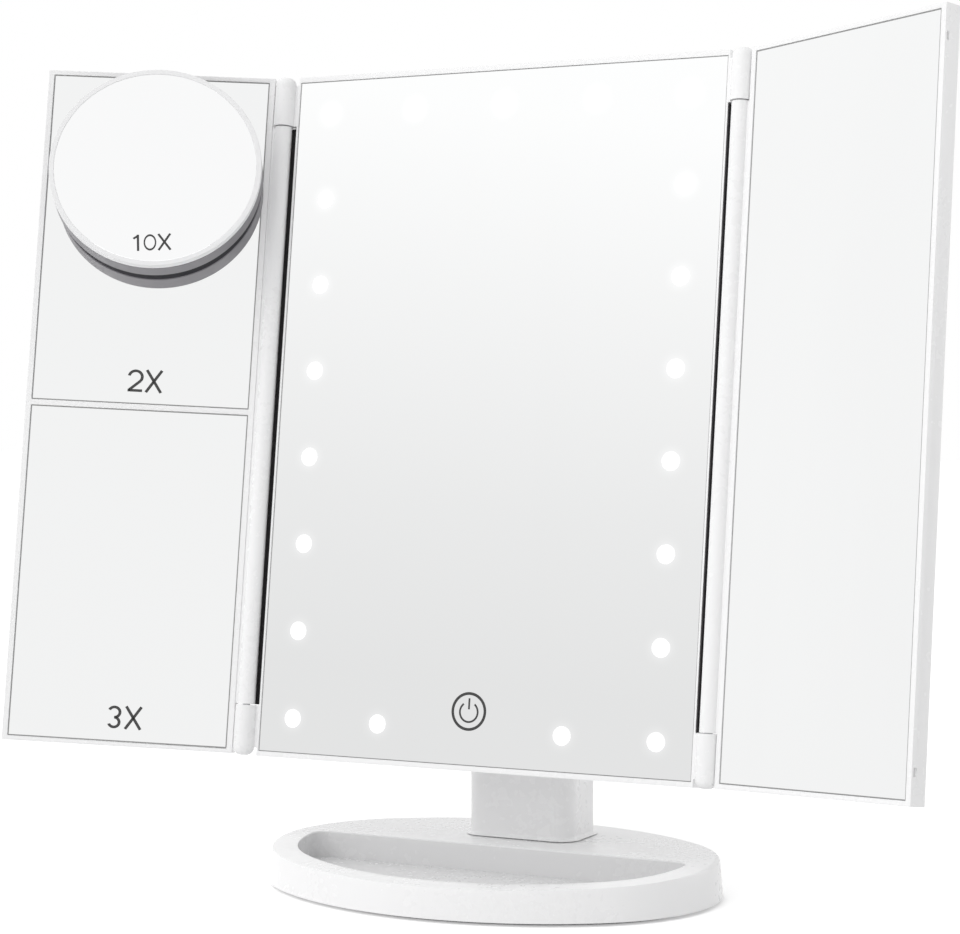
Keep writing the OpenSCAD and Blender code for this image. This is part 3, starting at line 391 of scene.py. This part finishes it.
plain_mirror, _, _ = mirror_glass("mirror_glass", (0.955, 0.96, 0.96, 1))
round_mirror_glass, _, _ = mirror_glass("round_mirror_glass", (0.96, 0.962, 0.965, 1))
lit_mirror, lit_tree, lit_shader = mirror_glass("lit_mirror_glass", (0.955, 0.96, 0.96, 1))
lamp_distance = place_group(lit_tree, glow_group)
halo = spread(lit_tree, lamp_distance.outputs["Distance"],
              LAMP_RADIUS * 0.9, LAMP_RADIUS * 2.3, 1, 0)
halo_colour = add(lit_tree, "Mix", data_type="RGBA", _6=grey(0), _7=grey(0.07))
lit_tree.links.new(maths(lit_tree, "POWER", halo, 2.6), halo_colour.inputs["Factor"])
lit_tree.links.new(halo_colour.outputs["Result"], lit_shader.inputs["Emission Color"])
lit_shader.inputs["Emission Strength"].default_value = 1
print("made", plain_mirror.name, round_mirror_glass.name, lit_mirror.name)

# %% [markdown]
# ### Lamp windows
# Where the silver is blasted away, the glass is frosted and a lamp chip behind it makes a
# round spot of light. It is full white in the middle and falls off a little at the rim.

# %% Lamp windows
window_glow, window_tree, window_shader = start_material("lit_frosted_window", roughness=0.5,
                                                         base_color=grey(0.85))
window_distance = place_group(window_tree, glow_group)
window_light = spread(window_tree, window_distance.outputs["Distance"],
                      LAMP_RADIUS * 0.45, LAMP_RADIUS * 1.02, 1.0, 0.28, smooth=True)
window_colour = add(window_tree, "Mix", data_type="RGBA", _6=grey(0), _7=(1, 1, 1, 1))
window_tree.links.new(window_light, window_colour.inputs["Factor"])
window_tree.links.new(window_colour.outputs["Result"], window_shader.inputs["Emission Color"])
window_shader.inputs["Emission Strength"].default_value = 1.0
print("made", window_glow.name)

# %% [markdown]
# ### Metals, boards and cells
# None of these shows from the front, but each is there when the mirror is taken apart:
# zinc-plated steel with cloudy plating, green boards with copper tracks under the lacquer,
# white lamp strips, and cells in a printed sleeve.

# %% Steel
steel, steel_tree, steel_shader = start_material("plated_steel", metallic=1.0)
plating = add(steel_tree, "TexNoise")
plating.inputs["Scale"].default_value = 240
plating.inputs["Detail"].default_value = 5
steel_tree.links.new(object_place(steel_tree, (1, 1, 0.3)), plating.inputs["Vector"])
plating_mix = add(steel_tree, "Mix", data_type="RGBA",
                  _6=(0.50, 0.51, 0.53, 1), _7=(0.68, 0.69, 0.70, 1))
steel_tree.links.new(plating.outputs["Fac"], plating_mix.inputs["Factor"])
steel_tree.links.new(plating_mix.outputs["Result"], steel_shader.inputs["Base Color"])
steel_tree.links.new(spread(steel_tree, plating.outputs["Fac"], 0.3, 0.7, 0.26, 0.42),
                     steel_shader.inputs["Roughness"])
add_bump(steel_tree, steel_shader, plating.outputs["Fac"], 0.00001)
print("made", steel.name)


# %% Boards and lamp strips
def board_finish(name, lacquer, copper, scale):
    """Lacquer over tracks: a brick pattern gives the tracks, and a fine noise the lacquer."""
    material, tree, shader = start_material(name, coat_weight=0.3, coat_roughness=0.15)
    tracks = add(tree, "TexBrick", offset=0.37)
    tracks.inputs["Scale"].default_value = scale
    tracks.inputs["Mortar Size"].default_value = 0.035
    tracks.inputs["Color1"].default_value = lacquer
    tracks.inputs["Color2"].default_value = tuple(c * 0.9 for c in lacquer[:3]) + (1,)
    tracks.inputs["Mortar"].default_value = copper
    turn = add(tree, "Mapping")
    turn.inputs["Rotation"].default_value = (math.radians(90), 0, 0)
    tree.links.new(object_place(tree), turn.inputs["Vector"])
    tree.links.new(turn.outputs["Vector"], tracks.inputs["Vector"])
    tree.links.new(tracks.outputs["Color"], shader.inputs["Base Color"])
    tree.links.new(spread(tree, tracks.outputs["Fac"], 0, 1, 0.42, 0.3), shader.inputs["Roughness"])
    add_bump(tree, shader, tracks.outputs["Fac"], 0.00003)
    return material


green_board = board_finish("green_board", (0.022, 0.12, 0.048, 1), (0.05, 0.22, 0.09, 1), 120)
lamp_strip = board_finish("white_lamp_strip", (0.80, 0.80, 0.76, 1), (0.66, 0.62, 0.50, 1), 60)
print("made", green_board.name, lamp_strip.name)

# %% Cell sleeve
sleeve, sleeve_tree, sleeve_shader = start_material("cell_sleeve", metallic=0.35, coat_weight=0.4)
bands = add(sleeve_tree, "TexWave", wave_type="BANDS", bands_direction="Z")
bands.inputs["Scale"].default_value = 12
bands.inputs["Distortion"].default_value = 0.4
sleeve_tree.links.new(object_place(sleeve_tree), bands.inputs["Vector"])
band_share = spread(sleeve_tree, bands.outputs["Fac"], 0.45, 0.55, 0, 1, smooth=True)
band_mix = add(sleeve_tree, "Mix", data_type="RGBA",
               _6=(0.05, 0.10, 0.20, 1), _7=(0.42, 0.46, 0.52, 1))
sleeve_tree.links.new(band_share, band_mix.inputs["Factor"])
sleeve_tree.links.new(band_mix.outputs["Result"], sleeve_shader.inputs["Base Color"])
sleeve_tree.links.new(spread(sleeve_tree, band_share, 0, 1, 0.3, 0.22),
                      sleeve_shader.inputs["Roughness"])
print("made", sleeve.name)

# %% [markdown]
# ## Dress the measured parts
# Each measured part keeps its shape and takes one finish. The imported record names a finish
# for every part, so the table below only has to say which material stands for each.

# %% Give every part its finish
finish_of = {
    "shell_white": gloss_white,
    "mirror": plain_mirror,
    "round_mirror": round_mirror_glass,
    "light_window": window_glow,
    "pad": foam,
    "steel": steel,
    "dark_plastic": groove_dark_and_shade,
    "spot_grey": band_grey_and_shade,
    "spot_ring": ring_pale,
    "board": green_board,
    "light_strip": lamp_strip,
    "cell_wrap": sleeve,
    "cup_rubber": soft_clear,
}
special_finish = {
    "centre_glass": lit_mirror,
    "base_shell": base_white,
    "base_bottom_plate": underside_white,
    "slot_seal_left": slot_painted_shade,
    "slot_seal_right": slot_painted_shade,
}
for part in frame["record"]["subparts"]:
    node = frame["nodes"][part["node"]]
    node.data.materials.clear()
    node.data.materials.append(special_finish.get(part["node"], finish_of[part["material_slot"]]))

# %% [markdown]
# ## Planes to work on
# The marks are drawn flat and then laid on a glass. Each glass has its own plane: u runs to
# the right on its face, v runs up, and n points out of the glass. The planes use the same
# measures as the part's source.

# %% The planes of the four faces
def tilted(across_turn):
    """A plane's turn: first about its own upright line, then back with the head."""
    return Matrix.Rotation(-HEAD_TILT, 4, "X") @ Matrix.Rotation(across_turn, 4, "Z")


FACE_UP = Matrix.Rotation(math.radians(90), 4, "X")
HINGE_X, HINGE_FRONT = 85.8 * MM, 1.1 * MM
LEFT_OPEN, RIGHT_OPEN = math.radians(22), math.radians(-25)
head_place = Matrix.Translation(GLASS_CENTRE) @ tilted(0)
left_hinge = (head_place @ Matrix.Translation((-HINGE_X, -HINGE_FRONT, 0))
              @ Matrix.Rotation(LEFT_OPEN, 4, "Z"))
right_hinge = (head_place @ Matrix.Translation((HINGE_X, -HINGE_FRONT, 0))
               @ Matrix.Rotation(RIGHT_OPEN, 4, "Z"))
centre_face = head_place @ FACE_UP
left_face = left_hinge @ FACE_UP
right_face = right_hinge @ FACE_UP
BALL_PLACE, ROUND_GLASS_FRONT = Vector((-40.1, -9, 74)) * MM, 24.3 * MM
ROUND_TURN, ROUND_TIP = math.radians(5.5), math.radians(-12)
spot_back = (left_hinge @ Matrix.Translation(BALL_PLACE)
             @ Matrix.Rotation(ROUND_TURN, 4, "Z") @ Matrix.Rotation(ROUND_TIP, 4, "X"))
round_face = spot_back @ Matrix.Translation((0, -ROUND_GLASS_FRONT, 0)) @ FACE_UP
print("round glass at", [round(c / MM, 2) for c in round_face.translation])

# %% [markdown]
# ## Drawn marks
# The power sign and the strength marks are printed on the glass in thin dark lines. Each is
# made of strokes: straight bars, and arcs that a small section is spun through. They are a
# few hundredths of a millimetre thick, so they lie on the glass like ink.

# %% Strokes
INK = 0.03 * MM


def bar(bm, start, end, width):
    """A straight stroke between two points, in millimetres."""
    start, end = Vector(start) * MM, Vector(end) * MM
    along = end - start
    made = bmesh.ops.create_cube(bm, size=1)["verts"]
    bmesh.ops.scale(bm, verts=made, vec=(along.length, width * MM, INK))
    bmesh.ops.rotate(bm, verts=made, cent=(0, 0, 0),
                     matrix=Matrix.Rotation(math.atan2(along.y, along.x), 3, "Z"))
    middle = (start + end) / 2
    bmesh.ops.translate(bm, verts=made, vec=(middle.x, middle.y, INK / 2))


def arc(bm, centre, radius, width, start, sweep, squeeze=1.0):
    """A round stroke. start and sweep are degrees from the right, anticlockwise."""
    centre = Vector(centre) * MM
    made = bmesh.ops.create_grid(bm, x_segments=1, y_segments=1, size=0.5)["verts"]
    bmesh.ops.scale(bm, verts=made, vec=(width * MM, INK, 1))
    bmesh.ops.rotate(bm, verts=made, cent=(0, 0, 0),
                     matrix=Matrix.Rotation(math.radians(90), 3, "X"))
    bmesh.ops.translate(bm, verts=made, vec=(radius * MM, 0, INK / 2))
    bmesh.ops.rotate(bm, verts=made, cent=(0, 0, 0),
                     matrix=Matrix.Rotation(math.radians(start), 3, "Z"))
    before = set(bm.verts) - set(made)
    faces = list({face for vert in made for face in vert.link_faces})
    full = abs(sweep) >= 360
    edges = list({edge for face in faces for edge in face.edges})
    bmesh.ops.spin(bm, geom=made + faces + edges, cent=(0, 0, 0), axis=(0, 0, 1),
                   angle=math.radians(sweep), steps=max(8, int(abs(sweep) / 6)),
                   use_merge=full, use_duplicate=False)
    if full:
        bmesh.ops.delete(bm, geom=[f for f in faces if f.is_valid], context="FACES_ONLY")
    fresh = [vert for vert in bm.verts if vert not in before]
    bmesh.ops.scale(bm, verts=fresh, vec=(squeeze, 1, 1))
    bmesh.ops.translate(bm, verts=fresh, vec=(centre.x, centre.y, 0))


def finish_piece(name, bm, place, material, body):
    """Turns a bmesh into a piece: normals outwards, laid in its place, dressed and riding."""
    bmesh.ops.recalc_face_normals(bm, faces=bm.faces)
    bm.transform(place)
    mesh = bpy.data.meshes.new(name)
    bm.to_mesh(mesh)
    bm.free()
    mesh.materials.append(material)
    piece = bpy.data.objects.new(name, mesh)
    bpy.context.scene.collection.objects.link(piece)
    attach(piece, body)
    print("made", name, len(mesh.polygons), "faces on", body)
    return piece


# %% Ink
ink = moulded("printed_ink", grey(0.035), grey(0.05), 0.45, ripple=2400.0, depth=0.000002)

# %% [markdown]
# ### Power sign
# The touch switch is marked with the common sign: a ring, an open arc inside it and a bar
# through the opening. It is 12.9 mm across.

# %% Power sign
POWER_V = -99.6
sign = bmesh.new()
arc(sign, (0, POWER_V), 5.97, 0.95, 0, 360)
arc(sign, (0, POWER_V - 0.2), 3.3, 0.65, 127, 286)
bar(sign, (0, POWER_V + 0.7), (0, POWER_V + 4.4), 0.65)
finish_piece("power_sign", sign, centre_face, ink, "head")


# %% [markdown]
# ### Strength marks
# Each magnifying glass says how strong it is: 2X, 3X and 10X. The figures are drawn on a
# grid one cap height tall, so that one helper can set them at any size.

# %% Figures
def figure_one(bm, x, y, tall, ink_width):
    bar(bm, (x + 0.30 * tall, y), (x + 0.30 * tall, y + tall), ink_width)
    bar(bm, (x + 0.33 * tall, y + 0.95 * tall), (x + 0.06 * tall, y + 0.76 * tall), ink_width)
    return 0.58 * tall


def figure_zero(bm, x, y, tall, ink_width):
    half = ink_width / 2
    radius = tall / 2 - half
    squeeze = 0.66
    arc(bm, (x + 0.34 * tall, y + tall / 2), radius, ink_width, 0, 360, squeeze)
    return 0.74 * tall


def figure_two(bm, x, y, tall, ink_width):
    half = ink_width / 2
    radius = 0.27 * tall
    middle = x + 0.33 * tall
    arc(bm, (middle, y + tall - radius - half), radius, ink_width, -38, 208)
    bar(bm, (middle + radius * 0.80, y + tall - radius * 1.62 - half),
        (x + 0.07 * tall, y + half), ink_width)
    bar(bm, (x + 0.03 * tall, y + half), (x + 0.63 * tall, y + half), ink_width)
    return 0.74 * tall


def figure_three(bm, x, y, tall, ink_width):
    half = ink_width / 2
    middle = x + 0.31 * tall
    upper, lower = 0.225 * tall, 0.275 * tall - half
    arc(bm, (middle, y + tall - upper - half), upper, ink_width, -90, 245)
    arc(bm, (middle, y + lower + half), lower, ink_width, -160, 250)
    return 0.74 * tall


def letter_x(bm, x, y, tall, ink_width):
    bar(bm, (x + 0.04 * tall, y), (x + 0.66 * tall, y + tall), ink_width)
    bar(bm, (x + 0.66 * tall, y), (x + 0.04 * tall, y + tall), ink_width)
    return 0.72 * tall


def write_mark(name, figures, start, tall, place, body, turn=0.0):
    """Figures in a row from start, in millimetres. turn is degrees, anticlockwise."""
    bm = bmesh.new()
    x = 0.0
    for draw in figures:
        x += draw(bm, x, 0.0, tall, 0.12 * tall)
    row = (Matrix.Translation(Vector((*start, 0)) * MM)
           @ Matrix.Rotation(math.radians(turn), 4, "Z")
           @ Matrix.Diagonal((1.1, 1, 1, 1)))
    finish_piece(name, bm, place @ row, ink, body)


# %% Strength marks
write_mark("mark_2x", [figure_two, letter_x], (-49.7, 5.3), 7.9, left_face, "wing_left")
write_mark("mark_3x", [figure_three, letter_x], (-48.9, -112.9), 7.9, left_face, "wing_left")
write_mark("mark_10x", [figure_one, figure_zero, letter_x], (-4.95, -31.4), 5.9, round_face,
           "round_mirror", turn=6)

# %% [markdown]
# ### Lines round the glasses
# A thin grey line runs round every glass inside its frame: painted shade for the narrow gap
# where the glass meets its frame. Each line is a flat frame: a rectangle is inset, its middle
# is taken out, and the rest is given the thickness of a film.

# %% Edge lines
FILM = 0.02 * MM
# Painted shade: a grey film for the shadow in the gap round each glass.
edge_painted_shade = moulded("glass_edge_painted_shade", grey(0.34), grey(0.28), 0.4, ripple=2400.0, depth=0.000002)


def edge_line(name, left, bottom, right, top, width, place, body):
    bm = bmesh.new()
    made = bmesh.ops.create_grid(bm, x_segments=1, y_segments=1, size=0.5)["verts"]
    bmesh.ops.scale(bm, verts=made, vec=((right - left) * MM, (top - bottom) * MM, 1))
    bmesh.ops.translate(bm, verts=made, vec=((left + right) / 2 * MM, (bottom + top) / 2 * MM, 0))
    middle = list(bm.faces)
    bmesh.ops.inset_region(bm, faces=middle, thickness=width * MM, use_even_offset=True,
                           use_boundary=True)
    bmesh.ops.delete(bm, geom=middle, context="FACES")
    raised = bmesh.ops.extrude_face_region(bm, geom=list(bm.faces), use_keep_orig=True)["geom"]
    bmesh.ops.translate(bm, verts=[g for g in raised if isinstance(g, bmesh.types.BMVert)],
                        vec=(0, 0, FILM))
    finish_piece(name, bm, place, edge_painted_shade, body)


edge_line("edge_centre", -80.25, -117.5, 80.25, 117.5, 0.2, centre_face, "head")
edge_line("edge_2x", -83.4, 1.1, -6.1, 117.3, 0.3, left_face, "wing_left")
edge_line("edge_3x", -83.4, -117.3, -6.1, -1.1, 0.3, left_face, "wing_left")
edge_line("edge_right", 6.1, -117.3, 83.4, 117.3, 0.3, right_face, "wing_right")

# %% [markdown]
# ## Rounded edges
# No moulded part has a truly sharp edge: a thin line of light runs along each one. A measured
# part's mesh is loose triangles, so a copy is merged and its flat faces are joined again. Then
# either a Bevel modifier rounds every edge sharper than 28 degrees, or, where a part has very
# small features, the bevel operator rounds only the edges that show. The copy then stands for
# the measured part.

# %% Rounded copies
SHARP = math.radians(28)


def round_edges(name, width, chosen=None):
    """A copy with rounded edges: those that chosen picks, or all of them without it."""
    source = frame["nodes"][name]
    bm = bmesh.new()
    bm.from_mesh(source.data)
    bmesh.ops.remove_doubles(bm, verts=bm.verts, dist=0.003 * MM)
    bmesh.ops.dissolve_degenerate(bm, dist=0.02 * MM, edges=bm.edges)
    bmesh.ops.dissolve_limit(bm, angle_limit=math.radians(0.4), verts=bm.verts, edges=bm.edges)
    if chosen:
        shown = [e for e in bm.edges if e.is_manifold and e.calc_face_angle() > SHARP and chosen(e)]
        bmesh.ops.bevel(bm, geom=shown, offset=width * MM, offset_type="OFFSET", segments=3,
                        profile=0.5, affect="EDGES", clamp_overlap=True, material=-1)
    mesh = bpy.data.meshes.new(name + "_rounded")
    bm.to_mesh(mesh)
    bm.free()
    mesh.shade_smooth()
    mesh.set_sharp_from_angle(angle=SHARP)
    mesh.materials.append(source.data.materials[0])
    copy = bpy.data.objects.new(mesh.name, mesh)
    bpy.context.scene.collection.objects.link(copy)
    if not chosen:
        bevel = copy.modifiers.new("bevel", "BEVEL")
        bevel.width, bevel.segments = width * MM, 2
        bevel.limit_method, bevel.angle_limit = "ANGLE", SHARP
        bevel.miter_outer, bevel.harden_normals = "MITER_ARC", True
    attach(copy, source["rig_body"])
    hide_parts(name)
    print("rounded", name, "by", width, "mm:", len(mesh.polygons), "faces before the modifier")


def long_edge(edge):
    return edge.calc_length() > 60 * MM


def upper_edge(edge):
    return all(vert.co.z > 11 * MM for vert in edge.verts)


# %% Round the parts that show
for name, width in (("wing_frame_left", 0.2), ("wing_frame_right", 0.2), ("wing_back_left", 0.3),
                    ("wing_back_right", 0.3), ("battery_door", 0.3), ("spot_front_shell", 0.3),
                    ("spot_rear_shell", 0.3), ("spot_ring", 0.2)):
    round_edges(name, width)
round_edges("centre_frame", 0.3, long_edge)
round_edges("back_cover", 0.5, long_edge)
round_edges("base_shell", 0.7, upper_edge)

# %% [markdown]
# ## The studio
# The mirror stands on a white table in front of white. The table is a plain sheet, which
# keeps the soft shadow under the base. What a mirror shows is the room, so the room is
# what gives the glasses their tone: it is a little darker low down in front, and almost
# white above, as a studio with a tall white screen is.

# %% Table
table_bm = bmesh.new()
bmesh.ops.create_grid(table_bm, x_segments=1, y_segments=1, size=6)
table_mesh = bpy.data.meshes.new("table")
table_bm.to_mesh(table_mesh)
table_bm.free()
table = bpy.data.objects.new("table", table_mesh)
bpy.context.scene.collection.objects.link(table)
table_white, table_tree, table_shader = start_material("white_table", roughness=0.6,
                                                       base_color=grey(0.8))
seen = add(table_tree, "Emission", _0=(1, 1, 1, 1), _1=0.30)
kept = add(table_tree, "BsdfDiffuse", _0=grey(0.95))
both = add(table_tree, "AddShader")
choose = add(table_tree, "MixShader")
table_path = add(table_tree, "LightPath")
seen_rays = maths(table_tree, "MAXIMUM", table_path.outputs["Is Camera Ray"],
                  maths(table_tree, "MAXIMUM", table_path.outputs["Is Glossy Ray"],
                        table_path.outputs["Is Transmission Ray"]))
table_tree.links.new(kept.outputs[0], both.inputs[0])
table_tree.links.new(seen.outputs[0], both.inputs[1])
table_tree.links.new(seen_rays, choose.inputs[0])
table_tree.links.new(table_shader.outputs[0], choose.inputs[1])
table_tree.links.new(both.outputs[0], choose.inputs[2])
table_tree.links.new(choose.outputs[0], table_tree.nodes["Material Output"].inputs["Surface"])
table_mesh.materials.append(table_white)
print("table", table.dimensions[:2])

# %% Room
ROOM_LOW, ROOM_HIGH, ROOM_STRENGTH = -10, 40, 1.25
world = bpy.data.worlds.new("white_room")
bpy.context.scene.world = world
world.use_nodes = True
room = world.node_tree
room.nodes.clear()
direction = add(room, "SeparateXYZ")
room.links.new(add(room, "TexCoord").outputs["Generated"], direction.inputs[0])
rise = maths(room, "MULTIPLY", maths(room, "ARCSINE", direction.outputs["Z"]), 180 / math.pi)
turn_round = maths(room, "MULTIPLY",
                   maths(room, "ARCTAN2", direction.outputs["X"],
                         maths(room, "MULTIPLY", direction.outputs["Y"], -1.0)), 180 / math.pi)


def room_ramp(stops):
    """Brightness of the room from 10 degrees below the horizon to 40 above it."""
    ramp = add(room, "ValToRGB")
    room.links.new(spread(room, rise, ROOM_LOW, ROOM_HIGH, 0, 1), ramp.inputs[0])
    marks = ramp.color_ramp.elements
    while len(marks) < len(stops):
        marks.new(0.5)
    for mark, (angle, level) in zip(marks, stops):
        mark.position = (angle - ROOM_LOW) / (ROOM_HIGH - ROOM_LOW)
        mark.color = grey(level / ROOM_STRENGTH)
    return ramp.outputs["Color"]


ahead = room_ramp([(-10, 0.78), (7, 0.81), (11, 0.86), (16, 0.95), (20, 1.03), (26, 1.06)])
right_of_it = room_ramp([(-10, 0.92), (10, 0.93), (22, 0.935), (34, 0.985)])
far_left = room_ramp([(-10, 0.92), (6, 0.945), (24, 0.995)])
to_right = spread(room, turn_round, -14, 2, 0, 1, smooth=True)
to_left = spread(room, turn_round, -40, -60, 0, 1, smooth=True)
room_right = add(room, "Mix", data_type="RGBA")
room_left = add(room, "Mix", data_type="RGBA")
for socket, source in ((room_right.inputs["Factor"], to_right), (room_right.inputs["A"], ahead),
                       (room_right.inputs["B"], right_of_it), (room_left.inputs["Factor"], to_left),
                       (room_left.inputs["A"], room_right.outputs["Result"]),
                       (room_left.inputs["B"], far_left)):
    room.links.new(source, socket)

lit = add(room, "Background", _1=1.0)
side_light = spread(room, direction.outputs["X"], -0.8, 0.8, 1.02, 0.53, smooth=True)
side_colour = add(room, "CombineXYZ")
for socket in side_colour.inputs:
    room.links.new(side_light, socket)
room.links.new(side_colour.outputs[0], lit.inputs[0])
reflected = add(room, "Background", _1=ROOM_STRENGTH)
room.links.new(room_left.outputs["Result"], reflected.inputs[0])
plain_white = add(room, "Background", _0=(1, 1, 1, 1), _1=1.0)
room_path = add(room, "LightPath")
first_choice = add(room, "MixShader")
second_choice = add(room, "MixShader")
room.links.new(room_path.outputs["Is Glossy Ray"], first_choice.inputs[0])
room.links.new(lit.outputs[0], first_choice.inputs[1])
room.links.new(reflected.outputs[0], first_choice.inputs[2])
room.links.new(maths(room, "MAXIMUM", room_path.outputs["Is Camera Ray"],
                     room_path.outputs["Is Transmission Ray"]), second_choice.inputs[0])
room.links.new(first_choice.outputs[0], second_choice.inputs[1])
room.links.new(plain_white.outputs[0], second_choice.inputs[2])
room.links.new(second_choice.outputs[0], add(room, "OutputWorld").inputs["Surface"])
print("room ready")


# %% [markdown]
# ### Lamps
# One large soft lamp stands high in front, a little to the left. It is kept out of the
# mirrors, which would show it as a hard bright disk. A low one behind on the right lights the
# walls that face that way: the column's side and the right wing's edge.

# %% Lamps
LAMP_AIM = Vector((0, 0, 150)) * MM


def soft_lamp(name, azimuth, elevation, distance, size, watts):
    lamp = bpy.data.lights.new(name, "AREA")
    lamp.shape = "DISK"
    lamp.size = size
    lamp.energy = watts
    holder = bpy.data.objects.new(name, lamp)
    bpy.context.scene.collection.objects.link(holder)
    turn, up = math.radians(azimuth), math.radians(elevation)
    outward = Vector((math.sin(turn) * math.cos(up), -math.cos(turn) * math.cos(up), math.sin(up)))
    holder.location = LAMP_AIM + outward * distance
    holder.rotation_euler = (-outward).to_track_quat("-Z", "Y").to_euler()
    print(name, "at", [round(c, 2) for c in holder.location])
    return holder


key_lamp = soft_lamp("key_lamp", -15, 40, 1.9, 2.2, 14)
key_lamp.visible_glossy = False
soft_lamp("rim_lamp", 128, 10, 2.2, 2.0, 9)

# %% [markdown]
# ### What the photograph leaves out
# From the camera the small round mirror would appear twice more, as its own image in the
# large glasses, and its shadow would lie across the hinge. The photograph has neither, so
# rays from a mirror and rays towards a lamp pass the round mirror by.

# %% Keep the round mirror's image and shadow off the rest
for piece in bpy.data.objects:
    if piece.get("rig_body") in ("round_mirror", "mirror_foot"):
        piece.visible_glossy = False
        piece.visible_shadow = False
print("the round mirror is seen once")
